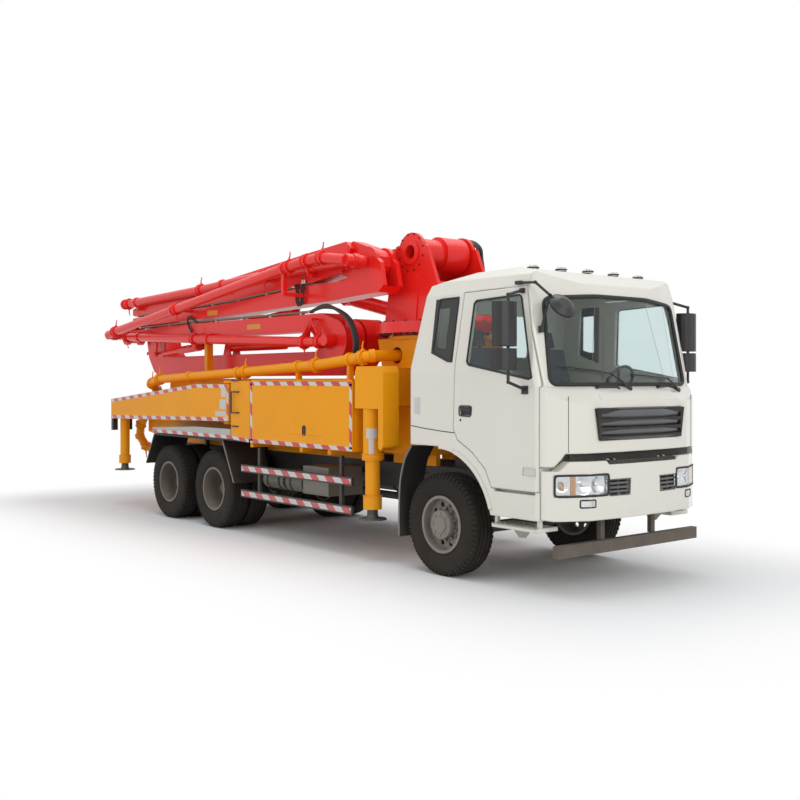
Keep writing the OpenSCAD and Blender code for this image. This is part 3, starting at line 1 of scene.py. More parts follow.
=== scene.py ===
import bpy
import bmesh
import math
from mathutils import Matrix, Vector


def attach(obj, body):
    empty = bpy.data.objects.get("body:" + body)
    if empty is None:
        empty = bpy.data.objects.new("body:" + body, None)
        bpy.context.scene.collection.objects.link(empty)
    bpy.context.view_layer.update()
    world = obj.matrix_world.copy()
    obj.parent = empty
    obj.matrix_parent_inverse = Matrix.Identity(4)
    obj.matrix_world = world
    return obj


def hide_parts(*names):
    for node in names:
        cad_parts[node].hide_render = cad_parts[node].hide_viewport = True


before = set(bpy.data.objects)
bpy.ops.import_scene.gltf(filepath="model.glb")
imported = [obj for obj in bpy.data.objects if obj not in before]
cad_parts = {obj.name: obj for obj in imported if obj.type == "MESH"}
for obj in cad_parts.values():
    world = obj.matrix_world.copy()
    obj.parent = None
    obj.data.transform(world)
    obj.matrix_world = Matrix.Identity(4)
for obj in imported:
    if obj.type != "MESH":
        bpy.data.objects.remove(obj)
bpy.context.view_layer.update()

# View and studio
# The camera stands in front and to the right at eye height, level, as the photograph was taken.
# The truck stands on a plain white floor under a big overhead soft box and two side panels.
camera_data = bpy.data.cameras.new("view")
camera_data.sensor_width = 36.0
camera_data.lens = 46.82
camera_data.shift_x = 0.00775
camera_data.shift_y = -0.0248
camera = bpy.data.objects.new("view", camera_data)
camera.location = (11.702, -8.458, 2.064)
camera.rotation_euler = (math.radians(90), 0, math.radians(50.919))
bpy.context.collection.objects.link(camera)
bpy.context.scene.camera = camera
bpy.context.scene.view_settings.view_transform = "Standard"


def put(tree, kind, sockets=None, **settings):
    """Adds a shader node; sockets maps an input's name or index to a value or to another socket."""
    node = tree.nodes.new("ShaderNode" + kind)
    for key, value in settings.items():
        setattr(node, key, value)
    for key, value in (sockets or {}).items():
        if isinstance(value, bpy.types.NodeSocket):
            tree.links.new(value, node.inputs[key])
        else:
            node.inputs[key].default_value = value
    return node


def calc(tree, operation, *values, **settings):
    """Result of a math node on values or sockets."""
    return put(tree, "Math", dict(enumerate(values)), operation=operation, **settings).outputs[0]


def remap(tree, value, low, high, to_low, to_high, **settings):
    """Result of mapping low..high onto to_low..to_high, held at both ends."""
    ends = {"Value": value, "From Min": low, "From Max": high, "To Min": to_low, "To Max": to_high}
    return put(tree, "MapRange", ends, **settings).outputs[0]


def mix(tree, share, one, other, **settings):
    """Colour between two others."""
    return put(tree, "Mix", {"Factor": share, 6: one, 7: other}, data_type="RGBA", **settings).outputs[2]


def seen_straight(tree):
    """1 on camera, mirror and transmitted rays, otherwise 0."""
    rays = put(tree, "LightPath").outputs
    seen = calc(tree, "MAXIMUM", rays["Is Camera Ray"], rays["Is Glossy Ray"])
    return calc(tree, "MAXIMUM", seen, rays["Is Transmission Ray"])


def emptied(owner):
    """Node tree of a material or a world, without its first nodes."""
    owner.use_nodes = True
    owner.node_tree.nodes.clear()
    return owner.node_tree


def rgb(r, g, b):
    return (r, g, b, 1.0)


white = rgb(1, 1, 1)
world = bpy.data.worlds.new("studio")
bpy.context.scene.world = world
air = emptied(world)
plain = put(air, "Background", {"Color": rgb(0.95, 0.97, 1.0), "Strength": 0.55})
shown = put(air, "Background", {"Color": white, "Strength": 1.0})
both = put(air, "MixShader", {0: seen_straight(air), 1: plain.outputs[0], 2: shown.outputs[0]})
put(air, "OutputWorld", {"Surface": both.outputs[0]})

floor_half = 60.0
floor_corners = [(-floor_half, -floor_half, 0), (floor_half, -floor_half, 0), (floor_half, floor_half, 0),
                 (-floor_half, floor_half, 0)]
floor_mesh = bpy.data.meshes.new("floor")
floor_mesh.from_pydata(floor_corners, [], [(0, 1, 2, 3)])
floor = bpy.data.objects.new("floor", floor_mesh)
bpy.context.collection.objects.link(floor)
floor_paper = bpy.data.materials.new("floor_paper")
paper = emptied(floor_paper)
matte = put(paper, "BsdfDiffuse", {"Color": rgb(0.9, 0.9, 0.9)})
bright = put(paper, "Emission", {"Color": white, "Strength": 1.0})
# The paper fades to plain white from the truck's shadow outwards
shadow_half = (5.6, 1.3, 9.0)
fade_reach = 2.6
here = put(paper, "TexCoord").outputs["Object"]
over = put(paper, "VectorMath", {0: here}, operation="ABSOLUTE").outputs[0]
over = put(paper, "VectorMath", {0: over, 1: shadow_half}, operation="SUBTRACT").outputs[0]
over = put(paper, "VectorMath", {0: over, 1: (0.0, 0.0, 0.0)}, operation="MAXIMUM").outputs[0]
away = put(paper, "VectorMath", {0: over}, operation="LENGTH").outputs["Value"]
fades = remap(paper, away, 0.1, fade_reach, 0.0, 1.0, interpolation_type="SMOOTHSTEP")
share = calc(paper, "MULTIPLY", fades, seen_straight(paper))
paper_mix = put(paper, "MixShader", {0: share, 1: matte.outputs[0], 2: bright.outputs[0]})
put(paper, "OutputMaterial", {"Surface": paper_mix.outputs[0]})
floor_mesh.materials.append(floor_paper)


def soft_box(name, at, aim, size, power):
    data = bpy.data.lights.new(name, "AREA")
    data.shape = "RECTANGLE"
    data.size, data.size_y = size
    data.energy = power
    lamp = bpy.data.objects.new(name, data)
    lamp.location = at
    lamp.rotation_euler = (Vector(aim) - Vector(at)).to_track_quat("-Z", "Y").to_euler()
    bpy.context.collection.objects.link(lamp)


soft_box("overhead", (1, 0, 11), (0, 0, 0), (14, 9), 620)
soft_box("front_panel", (15, -3, 6), (3, 0, 1.5), (8, 6), 470)
soft_box("side_panel", (2, -14, 6), (0, 0, 1.5), (14, 6), 235)


# Painted steel
# Every painted piece shows the same three things: road dust low down and on ledges, paint rubbed
# through along its edges, and the slight ripple of sprayed sheet.
def group(name, inputs, outputs):
    """New shader group with its sockets: tree, values coming in, places going out."""
    tree = bpy.data.node_groups.new(name, "ShaderNodeTree")
    for way, sockets in (("INPUT", inputs), ("OUTPUT", outputs)):
        for label, kind in sockets:
            tree.interface.new_socket(label, in_out=way, socket_type="NodeSocket" + kind)
    return tree, tree.nodes.new("NodeGroupInput").outputs, tree.nodes.new("NodeGroupOutput").inputs


dust_tree, g, out = group(
    "road_dust",
    [("Paint", "Color"), ("Dust", "Color"), ("Foot", "Float"), ("Top", "Float"), ("Amount", "Float")],
    [("Colour", "Color"), ("Mask", "Float")],
)
where = put(dust_tree, "TexCoord").outputs
height = put(dust_tree, "SeparateXYZ", {0: where["Object"]}).outputs["Z"]
upward = put(dust_tree, "SeparateXYZ", {0: where["Normal"]}).outputs["Z"]
low = remap(dust_tree, height, g["Top"], g["Foot"], 0.0, 1.0)
ledge = remap(dust_tree, upward, 0.55, 1.0, 0.0, 0.45)
cloud = put(dust_tree, "TexNoise", {"Vector": where["Object"], "Scale": 5.0, "Detail": 6.0,
                                    "Roughness": 0.65})
patchy = remap(dust_tree, cloud.outputs[0], 0.3, 0.7, 0.35, 1.0)
much = calc(dust_tree, "MULTIPLY", calc(dust_tree, "ADD", low, ledge), patchy)
much = calc(dust_tree, "MULTIPLY", much, g["Amount"], use_clamp=True)
dust_tree.links.new(mix(dust_tree, much, g["Paint"], g["Dust"]), out["Colour"])
dust_tree.links.new(much, out["Mask"])

wear_tree, g, out = group(
    "rubbed_edges",
    [("Paint", "Color"), ("Bare", "Color"), ("Width", "Float"), ("Amount", "Float")],
    [("Colour", "Color"), ("Mask", "Float")],
)
where = put(wear_tree, "TexCoord").outputs
flat = put(wear_tree, "NewGeometry").outputs["Normal"]
rounded = put(wear_tree, "Bevel", {"Radius": g["Width"]}, samples=4).outputs[0]
even = put(wear_tree, "VectorMath", {0: flat, 1: rounded}, operation="DOT_PRODUCT").outputs["Value"]
edge = remap(wear_tree, even, 0.995, 0.9, 0.0, 1.0)
chips = put(wear_tree, "TexNoise", {"Vector": where["Object"], "Scale": 38.0, "Detail": 5.0})
chipped = remap(wear_tree, chips.outputs[0], 0.52, 0.62, 0.0, 1.0)
mask = calc(wear_tree, "MULTIPLY", edge, chipped)
mask = calc(wear_tree, "MULTIPLY", mask, g["Amount"], use_clamp=True)
wear_tree.links.new(mix(wear_tree, mask, g["Paint"], g["Bare"]), out["Colour"])
wear_tree.links.new(mask, out["Mask"])

ripple_tree, g, out = group(
    "surface_grain",
    [("Scale", "Float"), ("Depth", "Float"), ("Edge", "Float")],
    [("Normal", "Vector"), ("Height", "Float")],
)
where = put(ripple_tree, "TexCoord").outputs
bumps = put(ripple_tree, "TexNoise", {"Vector": where["Object"], "Scale": g["Scale"], "Detail": 4.0})
soft_edge = put(ripple_tree, "Bevel", {"Radius": g["Edge"]}, samples=4).outputs[0]
relief = put(ripple_tree, "Bump", {"Height": bumps.outputs[0], "Distance": g["Depth"], "Normal": soft_edge})
ripple_tree.links.new(relief.outputs[0], out["Normal"])
ripple_tree.links.new(bumps.outputs[0], out["Height"])

road_dust = rgb(0.33, 0.28, 0.22)
dusty_rough = 0.85


def dusted(tree, paint, foot, top, amount):
    """Colour and mask of a paint under road dust between two heights."""
    sockets = {"Paint": paint, "Dust": road_dust, "Foot": foot, "Top": top, "Amount": amount}
    return put(tree, "Group", sockets, node_tree=dust_tree).outputs


def finish(name, colour, rough=0.35, metal=0.0, coat=0.0, dust=0.4, foot=0.2, top=1.6, wear=0.0,
           bare=rgb(0.25, 0.2, 0.17), grain=30.0, depth=0.0004, edge=0.004, tint=0.06, specular=0.5):
    """Material of a painted, cast or moulded surface, dusty and worn by its own amounts."""
    stuff = bpy.data.materials.new(name)
    tree = emptied(stuff)
    stuff.diffuse_color = colour
    where = put(tree, "TexCoord").outputs["Object"]
    fade = put(tree, "TexNoise", {"Vector": where, "Scale": 1.7, "Detail": 3.0}).outputs[0]
    shade = mix(tree, fade, rgb(*[c * (1 - 2 * tint) for c in colour[:3]]), colour)
    worn = put(tree, "Group", {"Paint": shade, "Bare": bare, "Width": edge * 1.5, "Amount": wear},
               node_tree=wear_tree)
    dusty = dusted(tree, worn.outputs["Colour"], foot, top, dust)
    grainy = put(tree, "Group", {"Scale": grain, "Depth": depth, "Edge": edge}, node_tree=ripple_tree)
    shader = put(tree, "BsdfPrincipled", {
        "Base Color": dusty["Colour"], "Roughness": remap(tree, dusty["Mask"], 0.0, 1.0, rough, dusty_rough),
        "Metallic": metal, "Coat Weight": coat, "Coat Roughness": 0.12, "Specular IOR Level": specular,
        "Normal": grainy.outputs["Normal"]})
    put(tree, "OutputMaterial", {"Surface": shader.outputs[0]})
    return stuff


def dress(stuff, *names):
    """Gives CAD nodes their material."""
    for name in names:
        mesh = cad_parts[name].data
        mesh.materials.clear()
        mesh.materials.append(stuff)


# Painted, cast and moulded pieces of the CAD
# Chassis black, cab off-white, deck and outriggers amber, boom signal red, all sprayed enamel over
# welded sheet; castings and rims carry rust and road dust, the mirrors are moulded plastic.
half_worn = 0.5
rust = rgb(0.16, 0.07, 0.03)
black_paint = finish("black_chassis_paint", rgb(0.01, 0.01, 0.011), 0.45, dust=0.16, foot=0.3, top=1.5,
                     wear=half_worn)
dress(black_paint, "chassis_frame", "side_guards", "engine_block")
guard_black = finish("black_mudguard", rgb(0.01, 0.01, 0.011), 0.55, dust=0.15, top=1.4, grain=220)
dress(guard_black, "mudguards")
cast_black = finish("rusty_castings", rgb(0.016, 0.013, 0.011), 0.6, dust=0.45, top=1.2, wear=half_worn,
                    bare=rgb(0.12, 0.05, 0.025), grain=60, depth=0.002)
dress(cast_black, "axles", "knuckle_right", "knuckle_left")
tank_paint = finish("tank_paint", rgb(0.2, 0.185, 0.16), 0.45, metal=0.3, dust=0.2, top=1.4, wear=half_worn)
dress(tank_paint, "tanks")
bar_paint = finish("bar_paint", rgb(0.075, 0.058, 0.046), 0.6, top=0.9, wear=half_worn)
dress(bar_paint, "underrun_bar")
pump_steel = finish("pump_steel", rgb(0.22, 0.23, 0.25), 0.35, metal=0.6, foot=0.8, top=1.7, wear=half_worn)
dress(pump_steel, "pump_unit")
front_rim = finish("front_rim_paint", rgb(0.2, 0.18, 0.165), 0.5, dust=0.55, foot=0.0, top=1.3,
                   wear=half_worn, bare=rust)
dress(front_rim, "rim_front_right", "rim_front_left")
rear_rim = finish("rear_rim_paint", rgb(0.12, 0.1, 0.088), 0.55, dust=0.65, foot=0.0, top=1.3, wear=half_worn,
                  bare=rust)
dress(rear_rim, "rims_mid_right", "rims_mid_left", "rims_rear_right", "rims_rear_left")
cab_white = finish("cab_paint", rgb(0.74, 0.715, 0.635), 0.22, coat=0.7, dust=0.1, foot=0.4, top=1.2,
                   edge=0.022, depth=0.00015, grain=6, tint=0.015)
dress(cab_white, "cab_shell", "door_right", "door_left", "bumper")
black_plastic = finish("black_plastic", rgb(0.014, 0.014, 0.015), 0.4, dust=0.12, grain=400, depth=0.0003,
                       edge=0.012)
dress(black_plastic, "mirror_right", "mirror_left", "kerb_mirror")
dash_grey = finish("dash_plastic", rgb(0.07, 0.07, 0.075), 0.6, dust=0.0, grain=260, depth=0.0006, edge=0.01)
dress(dash_grey, "dashboard")
seat_cloth = finish("seat_cloth", rgb(0.12, 0.13, 0.16), 0.9, dust=0.0, grain=600, depth=0.001, edge=0.02)
dress(seat_cloth, "seats")
amber_paint = finish("amber_paint", rgb(0.93, 0.365, 0.002), 0.42, dust=0.05, foot=0.4, top=1.7, wear=0.35,
                     specular=0.22)
dress(amber_paint, "deck", "lockers", "locker_door_right", "locker_door_left", "pedestal", "hopper",
      "deck_pipe", "outrigger_front_right", "outrigger_front_left", "outrigger_rear_right",
      "outrigger_rear_left")
jack_black = finish("jack_black", rgb(0.022, 0.022, 0.022), 0.4, metal=0.3, dust=0.5, wear=half_worn)
dress(jack_black, "jack_front_right", "jack_front_left", "jack_rear_right", "jack_rear_left", "hopper_grate")
boom_red = finish("boom_red", rgb(0.86, 0.017, 0.012), 0.32, coat=0.15, dust=0.05, foot=1.5, top=2.2,
                  wear=0.22, specular=0.35)
dress(boom_red, "turret", "arm_1", "arm_2", "arm_3", "arm_4", "arm_5", "lift_barrel")
chrome = finish("chrome_rod", rgb(0.75, 0.76, 0.78), 0.12, metal=1.0, dust=0.0)
dress(chrome, "lift_rod")

# Tyres
# Radial truck tyres of black rubber, brown with road dust. The ribs and the shoulder lugs are
# moulded into one ring; a pair of twin tyres is one joined piece on its hub.
part_x = 3.505
tyre_r = 0.5425
lug_count = 60
lug_depth, lug_undercut = 0.011, 0.005
groove_depth, groove_half = 0.013, 0.005
bead_to_shoulder = [(0.2866, 0.100, 0), (0.292, 0.112, 0), (0.305, 0.121, 0), (0.330, 0.132, 0),
                    (0.372, 0.1395, 0), (0.405, 0.142, 0), (0.440, 0.1422, 0), (0.470, 0.1405, 0),
                    (0.488, 0.138, 0), (0.490, 0.1395, 1), (0.512, 0.136, 1), (0.528, 0.1295, 1),
                    (0.538, 0.119, 1), (0.5408, 0.104, 1)]


def spot(x, y, z):
    """A place given in metres from the front axle at ground level."""
    return Vector((x + part_x, y, z))


def spots(points, hand=1):
    """Places with their side offset turned to one side."""
    return [spot(x, hand * y, z) for x, y, z in points]


def circle(count, turn=0.0):
    """Evenly spaced angles; turn moves them by a share of their pitch."""
    return [2 * math.pi * (i + turn) / count for i in range(count)]


def on_disc(x, y, z, radius, turn):
    """A place on an upright circle about a cross axis."""
    return spot(x + radius * math.cos(turn), y, z + radius * math.sin(turn))


def skin(mesh, rows, looped=False, capped=True, open_rows=False):
    """Quads between rows of places; each row is a closed ring unless the rows are open."""
    rows = [[mesh.verts.new(place) for place in row] for row in rows]
    for row, after in zip(rows, rows[1:] + rows[:1] if looped else rows[1:]):
        for k in range(len(row) - (1 if open_rows else 0)):
            n = (k + 1) % len(row)
            mesh.faces.new((row[k], row[n], after[n], after[k]))
    if capped and not looped:
        mesh.faces.new(list(reversed(rows[0])))
        mesh.faces.new(rows[-1])


def joined(name, fill, stuff, body, slot, smooth=30, hides=()):
    """One piece from a function that fills a bmesh, smooth up to an angle; it rides on its body."""
    work = bmesh.new()
    fill(work)
    bmesh.ops.recalc_face_normals(work, faces=work.faces)
    mesh = bpy.data.meshes.new(name)
    work.to_mesh(mesh)
    work.free()
    mesh.materials.append(stuff)
    if smooth:
        mesh.shade_smooth()
        mesh.set_sharp_from_angle(angle=math.radians(smooth))
    piece = bpy.data.objects.new(name, mesh)
    bpy.context.collection.objects.link(piece)
    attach(piece, body)
    if hides:
        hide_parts(*hides)


def tyre_ring(mesh, centre):
    # Rows give radius, half width, and 1 where the gap between two lugs cuts in
    side = list(bead_to_shoulder)
    for middle in (0.078, 0.030):
        side += [(0.5418, middle + 0.008, 0), (0.5418 - groove_depth, middle + groove_half, 0),
                 (0.5418 - groove_depth, middle - groove_half, 0), (0.5420, middle - 0.008, 0)]
    profile = side + [(r, -w, cut) for r, w, cut in reversed(side)]
    rings = []
    for lug in range(lug_count):
        for part, gap in ((0.0, 0), (0.62, 0), (0.66, 1), (0.96, 1)):
            turn = 2 * math.pi * (lug + part) / lug_count
            ring = []
            for r, w, cut in profile:
                reach = r - lug_depth * gap * cut
                inward = math.copysign(lug_undercut, w) * gap * cut
                ring.append(centre + Vector((reach * math.cos(turn), w - inward, reach * math.sin(turn))))
            rings.append(ring)
    skin(mesh, rings, looped=True)


tyre_rubber = finish("tyre_rubber", rgb(0.014, 0.011, 0.009), 0.75, specular=0.2, dust=0.1, foot=-0.2,
                     top=1.25, grain=90, depth=0.001, edge=0.002)
wheel_places = [
    ("front_right", 0.0, (-1.030,)), ("front_left", 0.0, (1.030,)),
    ("mid_right", -4.720, (-1.092, -0.774)), ("mid_left", -4.720, (1.092, 0.774)),
    ("rear_right", -6.070, (-1.092, -0.774)), ("rear_left", -6.070, (1.092, 0.774)),
]
for place, x, offsets in wheel_places:
    def tyres(mesh):
        for y in offsets:
            tyre_ring(mesh, spot(x, y, tyre_r))

    plural = "_" if len(offsets) == 1 else "s_"
    joined("treaded_tyre_" + place, tyres, tyre_rubber, "wheel" + plural + place, "tyre", 35,
           hides=("tyre" + plural + place,))

# Wheel nuts and hub caps
# Ten hexagonal steel nuts hold each wheel disc, with a round studded hub in the middle.
nut_circle = 0.1675
nut_r, nut_high = 0.019, 0.022
stud_r = 0.011
front_disc_face = 1.030 + 0.049
twin_disc_face = 0.933 + 0.014
nut_steel = finish("nut_steel", rgb(0.3, 0.28, 0.26), 0.4, metal=0.8, dust=0.5, foot=0.0, top=1.4,
                   wear=half_worn)


def add_prism(mesh, base, axis, radius, length, sides=6, tip=1.0, turn=0.0):
    """Adds a closed prism or cone frustum standing on base and pointing along axis."""
    way = Vector(axis).normalized()
    across = way.orthogonal().normalized()
    other = way.cross(across)
    out = [across * math.cos(turn + a) + other * math.sin(turn + a) for a in circle(sides)]
    foot, head = Vector(base), Vector(base) + way * length
    skin(mesh, [[foot + ray * radius for ray in out], [head + ray * radius * tip for ray in out]])


for place, x, offsets in wheel_places:
    hand = -1 if offsets[0] < 0 else 1
    single = len(offsets) == 1
    disc = front_disc_face if single else twin_disc_face
    hub, hub_circle = (disc + 0.091, 0.118) if single else (disc + 0.111, 0.080)

    def nuts(mesh):
        for a in circle(10, 0.5):
            add_prism(mesh, on_disc(x, hand * disc, tyre_r, nut_circle, a), (0, hand, 0), nut_r, nut_high)
            stud = on_disc(x, hand * (disc + nut_high), tyre_r, nut_circle, a)
            add_prism(mesh, stud, (0, hand, 0), stud_r, 0.014, sides=10)
        for a in circle(8):
            add_prism(mesh, on_disc(x, hand * hub, tyre_r, hub_circle, a), (0, hand, 0), stud_r, 0.009)

    joined("wheel_nuts_" + place, nuts, nut_steel, ("wheel_" if single else "wheels_") + place,
           "rim_front" if single else "rim_rear")


# Glass
# Laminated screen and toughened side panes, faintly blue-green and clean.
def pane(name, colour, clear):
    """Clear or tinted glass or lens plastic; clear is the share of light let through."""
    stuff = bpy.data.materials.new(name)
    tree = emptied(stuff)
    where = put(tree, "TexCoord").outputs["Object"]
    film = put(tree, "TexNoise", {"Vector": where, "Scale": 3.0, "Detail": 4.0}).outputs[0]
    shader = put(tree, "BsdfPrincipled", {
        "Base Color": colour, "Roughness": remap(tree, film, 0.3, 0.7, 0.02, 0.06), "Metallic": 0.0,
        "Transmission Weight": clear, "IOR": 1.3})
    put(tree, "OutputMaterial", {"Surface": shader.outputs[0]})
    return stuff


window = pane("window_glass", rgb(0.78, 0.86, 0.86), 1.0)
dress(window, "cab_glass", "door_glass_right", "door_glass_left")
lamp_cover = pane("lamp_cover", rgb(0.95, 0.97, 0.98), 0.9)
dress(lamp_cover, "headlamps")

# Window rubbers
# Black extruded rubber holds each pane in its opening, pressed in from outside; the quarter panes
# have a broad black border bonded over them.
belt_z = 2.150
side_half = 1.200
side_lean = 0.070 / 0.810


def smooth_path(points, steps=6):
    """Catmull-Rom curve through the points."""
    last = len(points) - 1
    path = []
    for i in range(last):
        a, b, c, d = (Vector(points[min(max(i + k - 1, 0), last)]) for k in range(4))
        for s in range(steps):
            t = s / steps
            path.append(0.5 * (2 * b + (c - a) * t + (2 * a - 5 * b + 4 * c - d) * t * t
                               + (3 * b - a - 3 * c + d) * t ** 3))
    path.append(Vector(points[-1]))
    return path


def add_tube(mesh, points, radius, sides=8, closed=False):
    """Sweeps a round section along the points; the ends are capped."""
    points = [Vector(p) for p in points]
    count = len(points)
    up = None
    rings = []
    for i, p in enumerate(points):
        before = points[i - 1] if (i > 0 or closed) else p
        after = points[(i + 1) % count] if (i < count - 1 or closed) else p
        way = (after - before).normalized()
        if up is None:
            up = way.orthogonal().normalized()
        up = (up - way * up.dot(way)).normalized()
        other = way.cross(up)
        size = radius[i] if isinstance(radius, list) else radius
        rings.append([p + (up * math.cos(a) + other * math.sin(a)) * size for a in circle(sides)])
    skin(mesh, rings, looped=closed)


def side_skin(z):
    """Half width of the cab's side at a height, in metres."""
    return side_half - max(0.0, z - belt_z) * side_lean


both_sides = ((-1, "right"), (1, "left"))


def paired(*pieces):
    """The same pieces on the right and on the left; fill also takes the side's sign."""
    for hand, side in both_sides:
        for name, fill, stuff, body, slot, smooth in pieces:
            own_body = body + side if body.endswith("_") else body
            joined(name + side, lambda mesh: fill(mesh, hand), stuff, own_body, slot, smooth)


rubber = finish("window_rubber", rgb(0.01, 0.01, 0.01), 0.6, dust=0.1, grain=300, depth=0.0003)
door_pane = [(0.430, 2.225), (0.495, 2.870), (1.145, 2.895), (1.340, 2.090), (1.300, 2.075)]
quarter_pane = [(-0.105, 2.365), (-0.035, 2.915), (0.255, 2.920), (0.195, 2.262), (0.150, 2.262)]
quarter_rim = [(-0.132, 2.350), (-0.100, 2.918), (0.264, 2.930), (0.212, 2.248), (0.140, 2.250)]
quarter_light = [(-0.062, 2.420), (-0.030, 2.815), (0.128, 2.822), (0.098, 2.392), (0.040, 2.392)]
seal_r = 0.011


def side_seal(outline):
    def fill(mesh, hand):
        points = [spot(x, hand * (side_skin(z) + 0.001), z) for x, z in outline]
        dense = []
        for p, q in zip(points, points[1:] + points[:1]):
            dense += [p.lerp(q, 0.04), p.lerp(q, 0.5), p.lerp(q, 0.96)]
        add_tube(mesh, dense, seal_r, closed=True)
    return fill


def quarter_border(mesh, hand):
    section = ((quarter_rim, 0.0004), (quarter_rim, 0.0024), (quarter_light, 0.0024), (quarter_light, 0.0004))
    skin(mesh, [[spot(x, hand * (side_skin(z) + lift), z) for x, z in outline] for outline, lift in section],
         looped=True)


paired(("door_pane_rubber_", side_seal(door_pane), rubber, "door_", "grille", 30),
       ("quarter_pane_rubber_", side_seal(quarter_pane), rubber, "cab", "grille", 30))
paired(("quarter_border_", quarter_border, black_plastic, "cab", "mirror", 0))


# Screen seal and wipers
# A thick moulded rubber frames the screen. Two black wipers park low on it, each on its own spindle
# in a plastic scuttle pad.
def between(table, at):
    """Straight-line value from a short table of (place, value) rows."""
    if at <= table[0][0]:
        return table[0][1]
    for (a, u), (b, v) in zip(table, table[1:]):
        if at <= b:
            return u + (v - u) * (at - a) / (b - a)
    return table[-1][1]


scuttle_z = 2.0
pillar_front = 1.640
pillar_lean = math.radians(10.8)
pillar_plan = [(0, 0), (0.4, -0.025), (0.8, -0.110), (1.055, -0.190), (1.13, -0.208), (1.18, -0.225),
               (1.2, -0.26)]
screen_side = [(scuttle_z, 1.572), (2.905, 1.445), (3.02, 1.385)]


def screen_skin(y, z):
    """Front of the cab above the scuttle, measured forward from the axle."""
    deep = between(pillar_plan, abs(y))
    lean = pillar_front + deep * math.cos(pillar_lean)
    lean -= (z - scuttle_z - deep * math.sin(pillar_lean)) * math.tan(pillar_lean)
    return min(lean, between(screen_side, z))


def plan_skin(front, y):
    """Front of the nose or bumper below the scuttle, from its middle x and the side offset."""
    return between([(0.3, front), (0.78, front - 0.045), (1.04, 1.57), (1.155, 1.47), (1.2, 1.38)], abs(y))


def round_outline(corners, radius, steps=5):
    """Closed outline with each corner rounded by a short curve."""
    path = []
    for i, corner in enumerate(corners):
        here = Vector(corner)
        before = Vector(corners[i - 1]) - here
        after = Vector(corners[(i + 1) % len(corners)]) - here
        a = here + before.normalized() * min(radius, before.length * 0.45)
        b = here + after.normalized() * min(radius, after.length * 0.45)
        for s in range(steps + 1):
            t = s / steps
            path.append(a * (1 - t) ** 2 + here * 2 * t * (1 - t) + b * t ** 2)
    return path


def fill_in(path, step):
    """Closed path with extra points so that no stretch is longer than the step."""
    dense = []
    for p, q in zip(path, path[1:] + path[:1]):
        count = max(1, int((q - p).length / step))
        dense += [p.lerp(q, k / count) for k in range(count)]
    return dense


screen_corners = [(-1.055, 2.022), (-1.0, 2.86), (-0.4, 2.897), (0.4, 2.897), (1.0, 2.86), (1.055, 2.022)]
screen_edge = fill_in(round_outline(screen_corners, 0.085), 0.08)


def screen_seal(mesh):
    add_tube(mesh, [spot(screen_skin(y, z) + 0.002, y, z) for y, z in screen_edge], 0.021, closed=True)


joined("screen_seal", screen_seal, rubber, "cab", "grille", smooth=60)
wiper_black = finish("wiper_black", rgb(0.012, 0.012, 0.012), 0.4, dust=0.1, wear=0.1, grain=200,
                     depth=0.0002)
# Spindle, elbow and tip of each wiper, as (side offset, height)
wipers = [((-0.05, 1.975), (-0.36, 2.135), (-0.98, 2.20)), ((0.80, 1.955), (0.55, 2.085), (-0.02, 2.125))]
pads = [(-0.56, -0.20), (0.40, 0.80)]


def add_box(mesh, low, high):
    """Adds a plain block between two corners."""
    v = [mesh.verts.new((low[0] if i & 1 else high[0], low[1] if i & 2 else high[1],
                         low[2] if i & 4 else high[2])) for i in range(8)]
    for ring in ((0, 1, 3, 2), (4, 6, 7, 5), (0, 4, 5, 1), (2, 3, 7, 6), (0, 2, 6, 4), (1, 5, 7, 3)):
        mesh.faces.new([v[k] for k in ring])


def wiper_set(mesh):
    for spindle, elbow, tip in wipers:
        foot = spot(screen_skin(*spindle) + 0.03, *spindle)
        bend = spot(screen_skin(*elbow) + 0.045, *elbow)
        add_prism(mesh, foot - Vector((0.05, 0, 0)), (1, 0, 0.1), 0.022, 0.06, sides=16)
        add_tube(mesh, [foot, foot.lerp(bend, 0.5) + Vector((0.02, 0, 0)), bend], [0.014, 0.011, 0.009])
        blade, frame_bar = [], []
        for i in range(13):
            t = -0.12 + 1.12 * i / 12
            y = elbow[0] + (tip[0] - elbow[0]) * t
            z = elbow[1] + (tip[1] - elbow[1]) * t
            blade.append(spot(screen_skin(y, z) + 0.022, y, z))
            frame_bar.append(spot(screen_skin(y, z) + 0.032 + 0.012 * math.sin(math.pi * i / 12), y, z))
        add_tube(mesh, blade, 0.0075, 6)
        add_tube(mesh, frame_bar, 0.007, 6)
    for y0, y1 in pads:
        corners = ((y0, 1.985), (y0 + 0.06, 2.002), (y1 - 0.04, 2.0), (y1, 1.98), (y1 - 0.05, 1.962),
                   (y0 + 0.05, 1.966))
        rim = [spot(screen_skin(y, scuttle_z) + 0.012, y, z) for y, z in corners]
        add_tube(mesh, rim, 0.016, closed=True)


joined("wipers", wiper_set, wiper_black, "cab", "grille", smooth=50)

# Grille blades and nose seams
# Three curved grey plastic blades stand in front of the dark radiator opening; pressed seams part
# the corner panels from the bonnet flap.
blade_rows = [(1.735, 0.090), (1.645, 0.062), (1.558, 0.062), (1.500, 0.026)]
blade_steps = 18
nose_front = 1.720
nose_reach = 1.7475
grille_top, grille_foot = 1.79, 1.487
blade_grey = finish("grille_blades", rgb(0.1, 0.1, 0.105), 0.4, dust=0.15, foot=0.8, top=1.9, grain=300,
                    depth=0.0003, edge=0.008)
radiator_dark = finish("radiator_dark", rgb(0.006, 0.006, 0.006), 0.7, dust=0.25, foot=1.0, top=1.9,
                       grain=500, depth=0.002)
dress(radiator_dark, "grille")


def grille_side(z):
    """Half width of the grille opening at a height."""
    return 0.640 + 0.050 * (z - 1.485) / 0.305 - 0.012


